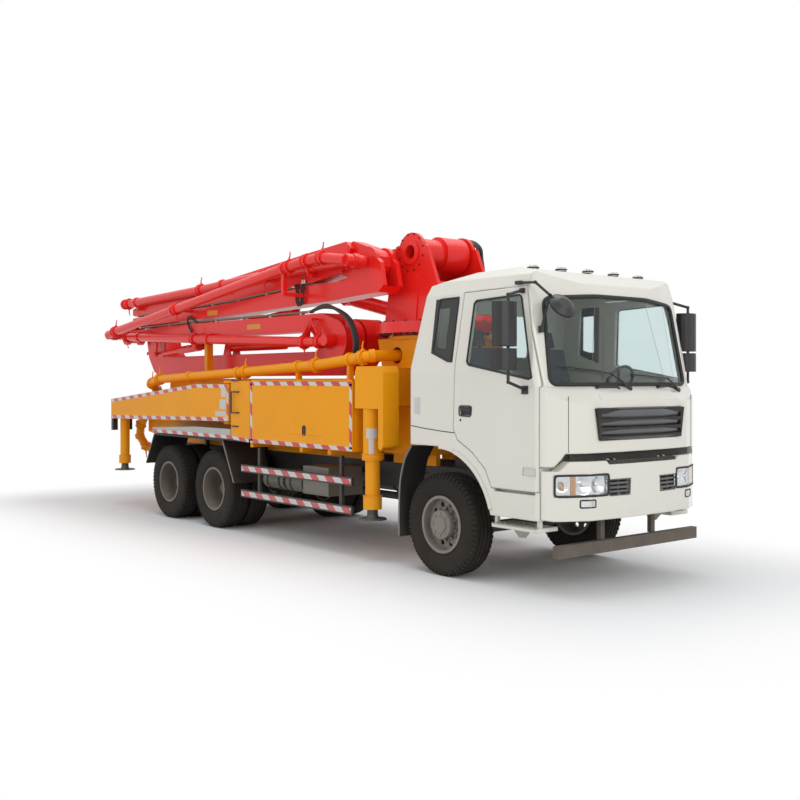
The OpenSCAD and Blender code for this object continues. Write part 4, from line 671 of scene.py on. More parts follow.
def grille_blades(mesh):
    for middle, tall in blade_rows:
        rows = []
        for k in range(7):
            t = k / 6
            z = middle + tall * (t - 0.5)
            bow = 0.030 * math.sin(math.pi * t) + 0.012 * t
            half = grille_side(z)
            row = []
            for i in range(blade_steps + 1):
                y = half * (2 * i / blade_steps - 1)
                end = 1 - max(0.0, (abs(y) - half + 0.07) / 0.07) ** 2
                x = min(plan_skin(nose_front - 0.018, y) + bow * end, nose_reach)
                row.append(spot(x, y, z))
            rows.append(row)
        skin(mesh, rows, capped=False, open_rows=True)
    corners = [(s * grille_side(z), z) for s, z in ((1, grille_top), (-1, grille_top), (-1, grille_foot),
                                                    (1, grille_foot))]
    edge = fill_in(round_outline(corners, 0.02, 3), 0.06)
    add_tube(mesh, [spot(plan_skin(nose_front, y) - 0.003, y, z) for y, z in edge], 0.009, 6, closed=True)


joined("grille_blades", grille_blades, blade_grey, "cab", "grille", smooth=50)


def spread(a, b, count):
    """Evenly spaced values from one end to the other."""
    return [a + (b - a) * i / count for i in range(count + 1)]


def both(fill):
    """The same work on the right and on the left of one piece."""
    def filled(mesh):
        for hand in (-1, 1):
            fill(mesh, hand)
    return filled


seam_y = 0.97


def nose_seams(mesh, hand):
    seam_x = plan_skin(nose_front, seam_y) - 0.0005
    add_tube(mesh, [spot(seam_x, hand * seam_y, z) for z in spread(1.375, 1.910, 6)], 0.0035, 6)
    # Seam under the side panel, and its pressed lower edge
    low = [(-0.44, 1.1995, 1.572), (-0.2, 1.1995, 1.548), (0.05, 1.1995, 1.53), (0.25, 1.1995, 1.52)]
    add_tube(mesh, spots(low, hand), 0.005, 6)


joined("nose_seams", both(nose_seams), rubber, "cab", "grille", smooth=60)

# Bumper openings
# Black mesh fills the notch and the slot under the cab; the vents hold grey louvres, and a bare
# black holder plate stands between them.
bumper_front = 1.748
mesh_black = finish("mesh_black", rgb(0.01, 0.01, 0.01), 0.6, dust=0.35, foot=0.7, top=1.7, grain=350,
                    depth=0.003)


def strip(mesh, across, front, low, high, deep, shift=0.0):
    """Curved panel that follows the front's plan over a run of side offsets."""
    rows = []
    for y in across:
        x = plan_skin(front, y) + shift
        corners = ((x, low), (x, high), (x - deep, high), (x - deep, low))
        rows.append([spot(u, y, z) for u, z in corners])
    skin(mesh, rows)


def bumper_mesh(mesh):
    strip(mesh, spread(-0.93, 0.93, 24), 1.64, 1.16, 1.352, 0.012)
    strip(mesh, spread(-0.525, 0.525, 14), 1.742, 1.2525, 1.290, 0.05)
    for y in spread(-0.50, 0.50, 26):
        strip(mesh, [y - 0.006, y + 0.006], 1.746, 1.256, 1.287, 0.01)
    for hand in (-1, 1):
        strip(mesh, spread(hand * 0.215, hand * 0.575, 6), 1.69, 0.93, 1.12, 0.01)
    strip(mesh, spread(-0.165, 0.165, 4), 1.7494, 0.965, 1.105, 0.01)
    for y in (-0.14, 0.14):
        for z in (0.975, 1.095):
            strip(mesh, [y - 0.028, y + 0.028], 1.7497, z - 0.014, z + 0.014, 0.01)


joined("bumper_mesh", bumper_mesh, mesh_black, "chassis", "grille", smooth=40)
vent_corners = [(0.553, 1.102), (0.232, 1.102), (0.242, 0.951), (0.52, 0.951)]


def vent_louvres(mesh, hand):
    edge = fill_in(round_outline(vent_corners, 0.015, 3), 0.05)
    rim = [spot(plan_skin(bumper_front, y) - 0.0052, hand * y, z) for y, z in edge]
    add_tube(mesh, rim, 0.007, 6, closed=True)
    for z in (0.985, 1.025, 1.066):
        outer = 0.50 + 0.04 * (z - 0.95) / 0.15
        strip(mesh, spread(hand * 0.25, hand * outer, 4), 1.738, z - 0.011, z + 0.011, 0.03)
    strip(mesh, [hand * 0.385, hand * 0.397], 1.73, 0.955, 1.1, 0.02)


joined("vent_louvres", both(vent_louvres), blade_grey, "chassis", "grille", smooth=40)

# Headlamps, fog lamps and repeaters
# Clear plastic covers over polished reflector bowls, with an amber indicator; a black gasket frames
# each lamp.
reflector = finish("lamp_reflector", rgb(0.8, 0.81, 0.82), 0.12, metal=1.0, dust=0.0, grain=60, depth=0.001,
                   edge=0.002)
amber_lens = pane("amber_lens", rgb(0.9, 0.38, 0.05), 0.6)
lamp_front = 1.744
gasket_front = 1.7475
lamp_low, lamp_high = 0.960, 1.160
lamp_middle = (lamp_low + lamp_high) / 2
lamp_in, lamp_out = 0.535, 1.087
lamp_floor = 0.022
# Side offset, radius and depth of each bowl
bowls = [(0.655, 0.085, 0.045), (0.815, 0.085, 0.045), (1.015, 0.055, 0.03)]


def lamp_depth(y, z):
    """How far the reflector lies behind the cover; a raised rib parts the lamp from the indicator."""
    if 0.915 < y < 0.945:
        return 0.012
    deep = lamp_floor
    for centre, reach, depth in bowls:
        off = math.hypot(y - centre, z - lamp_middle)
        if off < reach:
            deep = lamp_floor + depth * (1 - (off / reach) ** 2) * 0.8
    return deep


def headlamp_bowls(mesh, hand):
    across = spread(lamp_in, lamp_out, 48)
    grid = [[spot(plan_skin(lamp_front, y) - lamp_depth(y, z), hand * y, z) for y in across]
            for z in spread(lamp_low, lamp_high, 18)]
    skin(mesh, grid, capped=False, open_rows=True)
    for centre, reach, depth in bowls:
        at = spot(plan_skin(lamp_front, centre) - 0.05, hand * centre, lamp_middle)
        add_prism(mesh, at, (1, 0, 0), 0.016, 0.026, sides=14, tip=0.7)


def lamp_gaskets(mesh):
    for y0, y1, z0, z1, thick, bend in ((lamp_in, lamp_out, lamp_low, lamp_high, 0.011, 0.035),
                                        (0.71, 0.87, 0.852, 0.922, 0.008, 0.012)):
        edge = fill_in(round_outline([(y0, z0), (y0, z1), (y1, z1), (y1, z0)], bend, 4), 0.06)
        for hand in (-1, 1):
            line = [spot(plan_skin(gasket_front, y) + 0.001, hand * y, z) for y, z in edge]
            add_tube(mesh, line, thick, closed=True)


def lamp_covers(mesh, hand):
    strip(mesh, spread(hand * lamp_in, hand * lamp_out, 16), 1.7455, lamp_low, lamp_high, 0.004)
    strip(mesh, spread(hand * 0.715, hand * 0.865, 4), 1.7525, 0.856, 0.918, 0.004)


def indicator_lenses(mesh, hand):
    strip(mesh, spread(hand * 0.905, hand * 0.95, 3), lamp_front, lamp_low + 0.01, lamp_high - 0.01,
          0.006, shift=-0.008)
    strip(mesh, spread(hand * 1.0, hand * 1.03, 2), lamp_front, 1.02, 1.075, 0.006, shift=-0.02)


def fog_bowls(mesh, hand):
    strip(mesh, spread(hand * 0.718, hand * 0.862, 4), 1.7485, 0.858, 0.916, 0.006, shift=0.0015)


joined("headlamp_bowls", both(headlamp_bowls), reflector, "chassis", "lamp", smooth=50, hides=("headlamps",))
for name, fill, stuff in (("lamp_gaskets", lamp_gaskets, rubber),
                          ("lamp_covers", both(lamp_covers), lamp_cover),
                          ("indicator_lenses", both(indicator_lenses), amber_lens),
                          ("fog_bowls", both(fog_bowls), reflector)):
    joined(name, fill, stuff, "chassis", "lamp", smooth=60)


def side_bead(mesh, corners, y, radius, bend=0.0, step=0.05):
    """Round bead along a closed outline of (x, z) corners on a side face."""
    edge = round_outline(corners, bend, 4) if bend else [Vector(corner) for corner in corners]
    add_tube(mesh, [spot(x, y, z) for x, z in fill_in(edge, step)], radius, 6, closed=True)


def repeater(mesh, hand):
    add_box(mesh, spot(1.235, hand * 1.1995, 1.152), spot(1.385, hand * 1.2075, 1.222))
    side_bead(mesh, [(1.232, 1.149), (1.388, 1.149), (1.388, 1.225), (1.232, 1.225)], hand * 1.204, 0.006)


paired(("repeater_", repeater, lamp_cover, "door_", "lamp", 30))


# Door handles, roof lamps and mirror glass
# Black moulded handle dishes with a lock below, clear marker lamps on black bases along the roof,
# and silvered glass in the back of each mirror head.
def handle_dish(mesh, hand):
    rim = [(0.325, 1.700), (0.325, 1.800), (0.512, 1.800), (0.500, 1.695)]
    side_bead(mesh, rim, hand * 1.2005, 0.008, 0.03)
    add_box(mesh, spot(0.337, hand * 1.1805, 1.707), spot(0.498, hand * 1.1835, 1.788))
    add_box(mesh, spot(0.345, hand * 1.1845, 1.742), spot(0.490, hand * 1.2025, 1.782))
    add_prism(mesh, spot(0.345, hand * 1.199, 1.655), (0, hand, 0), 0.012, 0.005, sides=14)


paired(("handle_dish_", handle_dish, black_plastic, "door_", "mirror", 40))
roof_lamp_at = [(1.010, y, 3.190 - 0.014 * abs(y) / 0.83) for y in (-0.83, -0.415, 0.0, 0.415, 0.83)]


def lamp_bases(mesh):
    for x, y, z in roof_lamp_at:
        add_prism(mesh, spot(x, y, z + 0.004), (0, 0, 1), 0.062, 0.012, sides=24)
        add_prism(mesh, spot(x - 0.02, y, z + 0.015), (0, 0, 1), 0.03, 0.022, sides=16, tip=0.8)


def lamp_domes(mesh):
    for x, y, z in roof_lamp_at:
        add_prism(mesh, spot(x, y, z + 0.016), (0, 0, 1), 0.056, 0.019, sides=24, tip=0.78)


joined("roof_lamp_bases", lamp_bases, black_plastic, "cab", "mirror", smooth=40)
joined("roof_lamp_domes", lamp_domes, lamp_cover, "cab", "lamp", smooth=40)
mirror_silver = finish("mirror_silver", rgb(0.8, 0.82, 0.84), 0.04, metal=1.0, dust=0.0, grain=4,
                       depth=0.00005)


def mirror_faces(mesh, hand):
    for z0, z1 in ((2.405, 2.788), (2.175, 2.348)):
        add_box(mesh, spot(1.1725, hand * 1.545, z0), spot(1.1745, hand * 1.325, z1))


paired(("mirror_faces_", mirror_faces, mirror_silver, "door_", "mirror", 30))

# Reflective tape, skirt and blank labels
# Red and silver-white prismatic tape is stuck round the lockers, along the rear beams, the side
# guards and the pale sheet skirt; plain white labels carry nothing.
tape_period = 0.32
tape_red = rgb(0.55, 0.012, 0.02)
tape_silver = rgb(0.6, 0.6, 0.58)
tape = bpy.data.materials.new("reflective_tape")
tree = emptied(tape)
where = put(tree, "TexCoord").outputs["Object"]
along = put(tree, "SeparateXYZ", {0: where}).outputs
run = calc(tree, "DIVIDE", calc(tree, "ADD", along["X"], along["Z"]), tape_period)
is_red = calc(tree, "GREATER_THAN", calc(tree, "FRACT", run), 0.5)
cells = put(tree, "TexVoronoi", {"Vector": where, "Scale": 260.0}).outputs["Distance"]
sparkle = remap(tree, cells, 0.0, 0.7, 0.82, 1.0)
lit = mix(tree, 1.0, mix(tree, is_red, tape_silver, tape_red), sparkle, blend_type="MULTIPLY")
shader = put(tree, "BsdfPrincipled", {"Base Color": dusted(tree, lit, 0.2, 1.3, 0.3)["Colour"],
                                      "Roughness": 0.3, "Coat Weight": 0.5})
put(tree, "OutputMaterial", {"Surface": shader.outputs[0]})
skirt_grey = finish("skirt_grey", rgb(0.5, 0.5, 0.47), 0.5, foot=1.0, wear=0.1)
label_white = finish("blank_label", rgb(0.62, 0.62, 0.6), 0.5, dust=0.2, foot=1.0, top=2.2, edge=0.001)
side_y = 1.250
tape_proud = 0.0012
tape_half = 0.025


def flat_strip(mesh, hand, y, path, half):
    """Thin tape on a side face, along a path of (x, z) places."""
    rows = []
    for i, (x, z) in enumerate(path):
        way = Vector(path[min(i + 1, len(path) - 1)]) - Vector(path[max(i - 1, 0)])
        off = Vector((-way.y, way.x)).normalized() * half
        rows.append([spot(x + s * off.x, hand * (y + lift), z + s * off.y)
                     for s, lift in ((-1, 0.0), (1, 0.0), (1, tape_proud), (-1, tape_proud))])
    skin(mesh, rows)


door_frame = [[(-3.668, 1.262), (-3.668, 2.022)], [(-1.472, 1.262), (-1.472, 2.022)],
              [(-3.693, 2.020), (-1.447, 2.020)], [(-3.693, 1.264), (-1.447, 1.264)]]
beam_edges = [[(-4.290, 1.980), (-5.195, 1.980), (-8.050, 1.727)], [(-4.290, 1.530), (-8.050, 1.465)],
              [(-4.287, 1.555), (-4.287, 1.955)]]


def taped(paths):
    def fill(mesh, hand):
        for path in paths:
            flat_strip(mesh, hand, side_y, path, tape_half)
    return fill


paired(("door_tape_", taped(door_frame), tape, "locker_door_", "guard", 0),
       ("beam_tape_", taped(beam_edges), tape, "outrigger_rear_", "guard", 0))
skirt_outline = [(-6.56, 1.264), (-4.205, 1.264), (-4.207, 1.398), (-5.20, 1.398), (-6.56, 1.343)]


def skirts(mesh, hand):
    skin(mesh, [[spot(x, hand * y, z) for x, z in skirt_outline] for y in (side_y, side_y + tape_proud)])


low_edge = [(-6.56, 1.290), (-5.0, 1.289), (-4.205, 1.288), (-3.728, 1.262)]


def chassis_tape(mesh, hand):
    flat_strip(mesh, hand, side_y + 0.0013, low_edge, 0.024)
    for z in (0.884, 0.547):
        flat_strip(mesh, hand, 1.235, [(-3.94, z), (-1.49, z)], 0.032)


joined("side_skirts", both(skirts), skirt_grey, "chassis", "guard", smooth=0)
joined("chassis_tape", both(chassis_tape), tape, "chassis", "guard", smooth=0)
lip_curve = [(-0.442, 1.196, 1.350), (-0.550, 1.196, 1.209), (-0.630, 1.196, 0.966), (-0.652, 1.196, 0.645),
             (-0.652, 1.196, 0.350)]


def mudguard_edges(mesh, hand):
    add_tube(mesh, spots([(-4.440, 1.238, 1.222), (-4.140, 1.238, 0.668)], hand), 0.010)
    add_tube(mesh, spots([(-6.530, 1.238, 1.236), (-6.802, 1.238, 0.785)], hand), 0.008)
    # Rolled outer lip of the front mudguard
    add_tube(mesh, smooth_path(spots(lip_curve, hand), 4), 0.011)


edge_steel = finish("edge_steel", rgb(0.2, 0.19, 0.18), 0.45, metal=0.5, dust=0.5, wear=half_worn)
joined("mudguard_edges", both(mudguard_edges), edge_steel, "chassis", "fender", smooth=50)


def beam_labels(mesh, hand):
    for end, z0, z1 in ((-4.46, 1.83, 1.955), (-4.50, 1.665, 1.80), (-4.62, 1.565, 1.635)):
        middle = (z0 + z1) / 2
        flat_strip(mesh, hand, side_y, [(-4.335, middle), (end, middle)], (z1 - z0) / 2)


leg_x, leg_y = -1.205, 1.135
leg_r = 0.1103
label_thick = 0.0012


def leg_label(mesh, hand):
    outer = leg_r + label_thick
    for turn0, turn1, z0, z1 in ((-78, -12, 1.40, 1.515), (-62, -30, 1.225, 1.395)):
        corners = ((leg_r, z0), (leg_r, z1), (outer, z1), (outer, z0))
        turns = spread(math.radians(turn0), math.radians(turn1), 12)
        skin(mesh, [[spot(leg_x + r * math.cos(a), hand * (leg_y - r * math.sin(a)), z) for r, z in corners]
                    for a in turns])


paired(("beam_labels_", beam_labels, label_white, "outrigger_rear_", "guard", 0))
paired(("leg_label_", leg_label, label_white, "outrigger_front_", "guard", 30))


# Locker latches, grab handles and tail lamps
# Each flap has a black paddle latch in a long slot and two strap hinges; a bent rod handle is
# welded beside it; black lamp boxes hang under the tail of each rear beam.
def flap_latch(mesh, hand):
    slot_corners = [(-2.463, 1.383), (-2.463, 1.503), (-2.397, 1.503), (-2.397, 1.383)]
    side_bead(mesh, slot_corners, hand * 1.2505, 0.006, 0.03, 0.04)
    add_box(mesh, spot(-2.458, hand * 1.2385, 1.388), spot(-2.402, hand * 1.2405, 1.497))
    add_box(mesh, spot(-2.447, hand * 1.241, 1.40), spot(-2.413, hand * 1.2505, 1.486))


def flap_hinges(mesh, hand):
    for x in (-2.86, -2.36):
        add_tube(mesh, spots([(x - 0.04, 1.252, 1.982), (x + 0.04, 1.252, 1.982)], hand), 0.009, 10)
        add_box(mesh, spot(x - 0.03, hand * 1.2502, 1.95), spot(x + 0.03, hand * 1.254, 1.985))
    # Pressed rib above the lower edge
    add_tube(mesh, spots([(-2.80, 1.2505, 1.392), (-2.05, 1.2505, 1.392)], hand), 0.004, 6)


paired(("flap_latch_", flap_latch, black_plastic, "locker_door_", "mirror", 40),
       ("flap_hinges_", flap_hinges, amber_paint, "locker_door_", "yellow", 40))
bent_rod = [(-3.985, 1.252, 1.905), (-3.985, 1.276, 1.905), (-4.12, 1.282, 1.905), (-4.135, 1.282, 1.885),
            (-4.135, 1.282, 1.645), (-4.12, 1.282, 1.625), (-3.985, 1.276, 1.625), (-3.985, 1.252, 1.625)]


def grab_handles(mesh, hand):
    add_tube(mesh, smooth_path(spots(bent_rod, hand), 4), 0.010)
    for z in (2.058, 1.44):
        add_tube(mesh, spots([(-4.16, 1.262, z), (-3.99, 1.262, z)], hand), 0.009)
        for x in (-4.15, -4.0):
            add_tube(mesh, spots([(x, 1.249, z), (x, 1.262, z)], hand), 0.008)


def tail_boxes(mesh, hand):
    for y0, y1 in ((1.1645, 1.2475), (0.9085, 0.9915)):
        add_box(mesh, spot(-8.0800, hand * y0, 1.2435), spot(-8.0085, hand * y1, 1.4395))


def tail_lenses(mesh, hand):
    for y0, y1 in ((1.172, 1.240), (0.916, 0.984)):
        for z0, z1 in ((1.256, 1.335), (1.345, 1.428)):
            add_box(mesh, spot(-8.0835, hand * y0, z0), spot(-8.0795, hand * y1, z1))


joined("grab_handles", both(grab_handles), jack_black, "chassis", "jack", smooth=50)
tail_red = pane("tail_lens", rgb(0.5, 0.01, 0.012), 0.35)
paired(("tail_boxes_", tail_boxes, black_plastic, "outrigger_rear_", "mirror", 30),
       ("tail_lenses_", tail_lenses, tail_red, "outrigger_rear_", "lamp", 30))

# Pipe couplings and their levers
# Each joint of the delivery line is held by a forged two-part clamp with raised lips, closed by an
# over-centre lever; it is painted with the pipe.
inner_lane = -0.8315
outer_lane = -1.0715
pipe_reach = 0.0665


def add_ring(mesh, at, way, radius, thick, sides=24):
    """Round ring of the given tube thickness about a line."""
    way = Vector(way).normalized()
    across = way.orthogonal().normalized()
    other = way.cross(across)
    path = [at + (across * math.cos(a) + other * math.sin(a)) * radius for a in circle(sides)]
    add_tube(mesh, path, thick, 6, closed=True)


def clamp(mesh, at, way, rise, lean):
    """Lips, a hinge knuckle and the lever of one coupling; rise is the lever's side, up or down."""
    way = way.normalized()
    for off in (-0.033, 0.033):
        add_ring(mesh, at + way * off, way, pipe_reach + 0.016, 0.009)
    top = at + Vector((0, 0, rise * (pipe_reach + 0.022)))
    add_tube(mesh, [top - way * 0.03, top + way * 0.03], 0.014)
    tip = top + Vector((lean, 0, rise * 0.105))
    add_tube(mesh, [top, top.lerp(tip, 0.5) + way * 0.012, tip], [0.012, 0.009, 0.0075])
    low = at - Vector((0, 0, rise * (pipe_reach + 0.018)))
    add_prism(mesh, low - way * 0.02, way, 0.014, 0.04, sides=10)


def clamps(places, levers, lean):
    """Couplings along a pipe; levers holds each one's side, up or down."""
    points = spots(places)

    def fill(mesh):
        for i, at in enumerate(points):
            way = points[min(i + 1, len(points) - 1)] - points[max(i - 1, 0)]
            clamp(mesh, at, way, levers[i], lean)
    return fill


up_and_down = (1.0, -1.0, 1.0, -1.0, 1.0)
for arm, lane, joints in (
    ("arm_3", inner_lane, [(-2.70, 2.556), (-3.04, 2.560), (-6.00, 2.690), (-8.36, 2.800)]),
    ("arm_4", outer_lane, [(-8.30, 2.880), (-6.14, 3.140), (-3.04, 3.520), (-2.64, 3.560), (-2.30, 3.570)]),
    ("arm_5", inner_lane, [(-2.10, 3.530), (-4.00, 3.500), (-5.80, 3.420), (-8.30, 3.352)]),
):
    places = [(x, lane, z) for x, z in joints]
    joined("pipe_clamps_" + arm, clamps(places, up_and_down, 0.03), boom_red, arm, "red", smooth=50)
deck_joints = [(-1.56, -1.010, 2.330), (-2.52, -1.010, 2.250), (-4.21, -1.010, 2.175), (-6.80, -1.010, 2.080),
               (-7.18, -0.950, 2.010), (-7.70, -0.748, 1.600), (-8.02, -0.748, 1.330), (-8.04, -0.650, 0.960)]
joined("pipe_clamps_deck", clamps(deck_joints, (1.0,) * 5 + (-1.0,) * 3, 0.015), amber_paint, "chassis",
       "yellow", smooth=50)


def brace(mesh):
    for y in (-0.800, -0.850):
        add_tube(mesh, spots([(-3.06, y, 2.640), (-2.86, y, 2.850)]), 0.013, 6)
        add_tube(mesh, spots([(-2.86, y, 2.850), (-2.72, y, 2.660)]), 0.013, 6)
    add_tube(mesh, spots([(-2.86, -0.855, 2.850), (-2.86, -0.751, 2.850)]), 0.016)


joined("elbow_brace", brace, boom_red, "arm_3", "red", smooth=40)

# Hydraulic tubes and hoses
# Steel tubes, brown with primer, are clipped along the top of the arms; black rubber hoses with
# crimped steel ends bridge the knuckles.
tube_brown = finish("tube_primer", rgb(0.24, 0.15, 0.11), 0.45, metal=0.2, dust=0.1, foot=2.0, top=3.0,
                    wear=0.4, bare=rgb(0.4, 0.38, 0.35), edge=0.003)
hose_rubber = finish("hose_rubber", rgb(0.014, 0.014, 0.014), 0.5, dust=0.1, foot=1.0, top=2.0, grain=240,
                     depth=0.0006, edge=0.003)
crimp_steel = finish("crimp_steel", rgb(0.5, 0.49, 0.46), 0.3, metal=0.9, dust=0.1, wear=0.1)
tube_lanes = (-0.705, -0.738)
tube_rise = 0.030
clip_pitch = 0.75
arm_tops = {
    "arm_3": [(-8.05, 2.909), (-6.40, 2.930), (-3.05, 2.927)],
    "arm_4": [(-8.15, 3.114), (-5.00, 3.190), (-3.42, 3.276)],
}
for arm, top in arm_tops.items():
    def tubes(mesh):
        for y in tube_lanes:
            add_tube(mesh, [spot(x, y, z + tube_rise) for x, z in top], 0.016)

    def clips(mesh):
        x = top[0][0] + 0.3
        while x < top[-1][0]:
            z = between(top, x)
            add_box(mesh, spot(x - 0.022, -0.749, z - 0.004), spot(x + 0.022, -0.694, z + 0.048))
            x += clip_pitch
        for y in tube_lanes:
            for x, z in (top[0], top[-1]):
                add_prism(mesh, spot(x - 0.03, y, z + tube_rise), (1, 0, 0), 0.019, 0.06, sides=12)

    joined("tubes_" + arm, tubes, tube_brown, arm, "red", smooth=60)
    joined("tube_clips_" + arm, clips, crimp_steel, arm, "rod", smooth=40)


def hose_run(mesh, points, radius, hand=1):
    add_tube(mesh, smooth_path(spots(points, hand), 6), radius, 10)


def hoses_3(mesh):
    for k, y in enumerate((-0.772, -0.808, -0.844)):
        grow = 0.012 * k
        hose_run(mesh, [(-3.03, -0.738 + 0.004 * k, 2.957), (-2.72, -0.76, 2.995 + grow),
                        (-2.40, y, 2.955 + grow), (-2.12 + grow, y, 2.82), (-1.97 + grow, y, 2.58),
                        (-1.99 + grow, y, 2.36), (-2.15, y + 0.05, 2.235)], 0.02)
    hose_run(mesh, [(-6.05, -0.765, 2.958), (-6.16, -0.775, 3.00), (-6.27, -0.775, 3.045),
                    (-6.33, -0.775, 3.00), (-6.30, -0.772, 2.90), (-6.20, -0.770, 2.80)], 0.014)


hose_loop = [(-3.40, -0.738, 3.305), (-3.33, -0.775, 3.32), (-3.295, -0.785, 3.22), (-3.30, -0.785, 3.12),
             (-3.25, -0.785, 3.045), (-3.19, -0.785, 3.10), (-3.17, -0.785, 3.22), (-3.165, -0.772, 3.34)]
loop_shifts = (0.0, 0.045)


def hoses_4(mesh):
    for off in loop_shifts:
        hose_run(mesh, [(x + off, y, z) for x, y, z in hose_loop], 0.012)


def hose_ends(mesh):
    for off in loop_shifts:
        add_prism(mesh, spot(-3.165 + off, -0.772, 3.33), (0, 0, 1), 0.017, 0.05, sides=12)
        add_prism(mesh, spot(-3.43 + off, -0.738, 3.305), (1, 0, 0), 0.017, 0.05, sides=12)


pin_x, pin_z = -1.5, 3.62


def hoses_turret(mesh):
    for k, y in enumerate((0.575, 0.607)):
        arc = [(pin_x + (0.27 + 0.02 * k) * math.cos(a), y, pin_z + (0.2 + 0.008 * k) * math.sin(a))
               for a in spread(math.radians(165), math.radians(-10), 5)]
        hose_run(mesh, arc + [(-1.20 + 0.02 * k, y, 3.38), (-1.17, y, 3.05), (-1.22, y - 0.02, 2.757)], 0.019)


joined("hoses_arm_3", hoses_3, hose_rubber, "arm_3", "mirror", smooth=60)
joined("hoses_arm_4", hoses_4, hose_rubber, "arm_4", "mirror", smooth=60)
joined("hose_ends_arm_4", hose_ends, crimp_steel, "arm_4", "rod", smooth=40)
joined("hoses_turret", hoses_turret, hose_rubber, "turret", "mirror", smooth=60)

# Knuckle caps, turret bolts and arm labels
# Cover plates with six screws close the knuckle pins, high-strength bolts ring the turntable, and
# blank amber labels mark the arms.
bolt_black = finish("bolt_black", rgb(0.02, 0.018, 0.017), 0.5, metal=0.5, dust=0.3, foot=1.0, top=3.0,
                    wear=half_worn)
slew_x = -1.3
lower_flange, lower_circle = 2.6195, 0.728
upper_flange, upper_circle = 2.7495, 0.755
cheek_middle, cheek_clear = 0.405, 0.16
boss_y, boss_circle = -0.3125, 0.226


def pin_cap(mesh, x, y, z, hand, radius):
    add_prism(mesh, spot(x, y, z), (0, hand, 0), radius, 0.008, sides=28, tip=0.96)
    for a in circle(6):
        add_prism(mesh, on_disc(x, y + hand * 0.007, z, radius * 0.7, a), (0, hand, 0), radius * 0.13, 0.008)


def caps_3(mesh):
    pin_cap(mesh, -2.5, -0.434, 2.57, 1, 0.05)
    pin_cap(mesh, -7.65, -0.801, 2.50, -1, 0.028)
    pin_cap(mesh, -6.27, -0.801, 2.58, -1, 0.028)


def turret_bolts(mesh):
    for a in circle(12, 0.5):
        add_prism(mesh, on_disc(pin_x, boss_y, pin_z, boss_circle, a), (0, -1, 0), 0.012, 0.009)
    for i, a in enumerate(circle(48)):
        at = spot(slew_x + lower_circle * math.cos(a), lower_circle * math.sin(a), lower_flange)
        add_prism(mesh, at, (0, 0, -1), 0.019, 0.026)
        # Every second bolt shows on top as well, where no cheek plate stands
        if i % 2 == 0 and abs(abs(at.y) - cheek_middle) > cheek_clear:
            top = spot(slew_x + upper_circle * math.cos(a), upper_circle * math.sin(a), upper_flange)
            add_prism(mesh, top, (0, 0, 1), 0.016, 0.02)


joined("pin_caps_arm_3", caps_3, boom_red, "arm_3", "red", smooth=40)
joined("turret_bolts", turret_bolts, bolt_black, "turret", "jack", smooth=0)
amber_label = finish("amber_label", rgb(0.75, 0.32, 0.03), 0.4, dust=0.05, edge=0.001)
arm_face = -0.750
for arm, x0, x1, z0, z1 in (("arm_5", -3.25, -2.82, 3.545, 3.635), ("arm_4", -5.75, -5.45, 3.035, 3.105),
                            ("arm_3", -4.60, -4.25, 2.78, 2.85)):
    def label(mesh):
        add_box(mesh, spot(x0, arm_face - label_thick, z0), spot(x1, arm_face + 0.0002, z1))

    joined("label_" + arm, label, amber_label, arm, "red")

# Step treads, tank straps and leg collars
# Pressed steel treads with punched holes, straps round the air receivers, and bolted flanges on the
# jack tubes.
tread_steel = finish("tread_steel", rgb(0.42, 0.41, 0.37), 0.5, metal=0.3, dust=0.5, top=1.2, wear=half_worn)
tread_top, tread_pitch = 0.6495, 0.067


def step_treads(mesh, hand):
    for y in (1.15, 1.10, 1.05):
        for i in range(9):
            at = spot(0.83 + i * tread_pitch, hand * y, tread_top)
            add_prism(mesh, at, (0, 0, 1), 0.016, 0.006, sides=10, tip=0.8)
    add_tube(mesh, spots([(0.80, 1.188, 0.646), (1.395, 1.188, 0.646)], hand), 0.007, 6)
    # Funnel-shaped stay under the tread
    add_prism(mesh, spot(1.06, hand * 1.03, 0.6095), (0, 0, -1), 0.13, 0.09, sides=4, tip=0.35,
              turn=math.pi / 4)


joined("step_treads", both(step_treads), tread_steel, "cab", "bar", smooth=30)
box_section = [(0.556, 0.596), (0.618, 0.536), (1.092, 0.536), (1.154, 0.596), (1.154, 1.004), (1.092, 1.064),
               (0.618, 1.064), (0.556, 1.004)]
air_tank_y, air_tank_z, air_tank_r = -0.84, 0.73, 0.1215


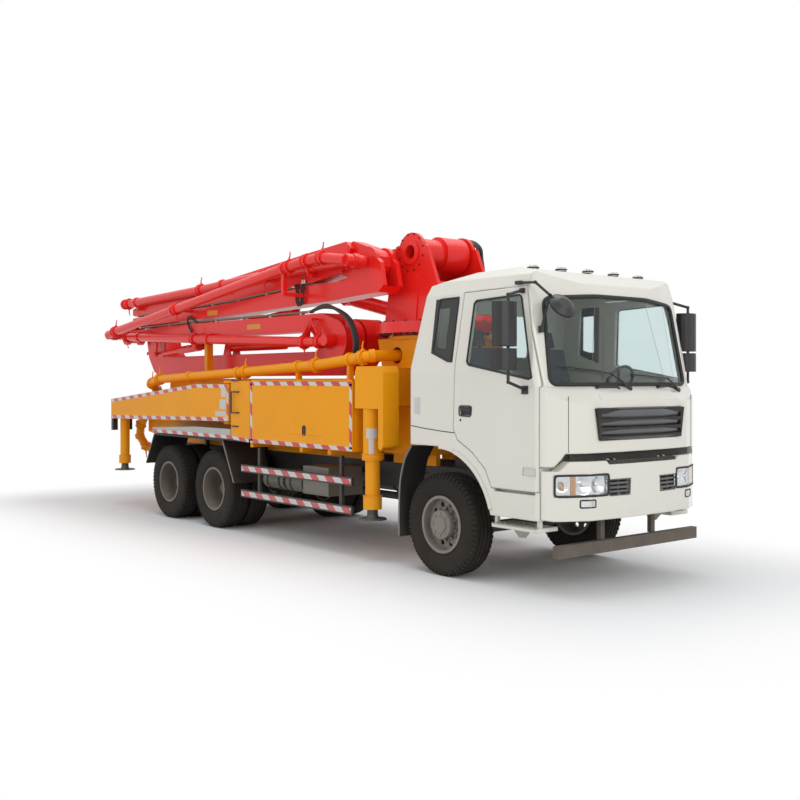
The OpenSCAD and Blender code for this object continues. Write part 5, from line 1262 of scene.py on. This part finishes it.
def tank_straps(mesh):
    for x in (-3.84, -3.29):
        for off in (0.10, 0.12, 0.38, 0.40):
            add_ring(mesh, spot(x + off, air_tank_y, air_tank_z), (1, 0, 0), air_tank_r, 0.006, sides=28)
    for x in (-3.55, -2.90):
        add_tube(mesh, fill_in([spot(x, y, z) for y, z in box_section], 0.2), 0.012, 6, closed=True)


joined("tank_straps", tank_straps, hose_rubber, "chassis", "guard", smooth=50)
collar_top, collar_circle = 1.2115, 0.116


def collar_bolts(mesh, hand):
    for a in circle(10):
        at = spot(leg_x + collar_circle * math.cos(a), hand * leg_y + collar_circle * math.sin(a), collar_top)
        add_prism(mesh, at, (0, 0, 1), 0.011, 0.012)
    for z, radius in ((1.180, 0.1235), (0.742, 0.1085)):
        add_ring(mesh, spot(leg_x, hand * leg_y, z), (0, 0, 1), radius, 0.006, sides=32)


paired(("collar_bolts_", collar_bolts, amber_paint, "outrigger_front_", "yellow", 40))


def brake_lines(mesh, hand):
    hose_run(mesh, [(-0.92, 0.55, 1.00), (-0.84, 0.80, 0.96), (-0.80, 0.95, 0.90), (-0.82, 0.92, 0.80),
                    (-0.90, 0.80, 0.76), (-0.97, 0.55, 0.80)], 0.012, hand)
    for x in (-4.72, -6.07):
        hose_run(mesh, [(x + 0.20, 0.44, 0.98), (x + 0.16, 0.50, 0.86), (x + 0.10, 0.50, 0.74),
                        (x + 0.04, 0.45, 0.63)], 0.012, hand)


rail_side = 0.4305


def frame_bolts(mesh, hand):
    for x in (-6.95, -5.395, -3.9, -2.5, -1.07, 1.28):
        for dx in (-0.03, 0.03):
            for z in (0.88, 0.97):
                add_prism(mesh, spot(x + dx, hand * rail_side, z), (0, hand, 0), 0.012, 0.010)


def cab_label(mesh):
    add_box(mesh, spot(-0.39, -side_half - label_thick, 1.70), spot(-0.29, -side_half, 1.88))


joined("brake_hoses", both(brake_lines), hose_rubber, "chassis", "black_frame", smooth=60)
joined("frame_bolts", both(frame_bolts), bolt_black, "chassis", "black_frame", smooth=0)
joined("cab_label", cab_label, label_white, "cab", "cab_paint")
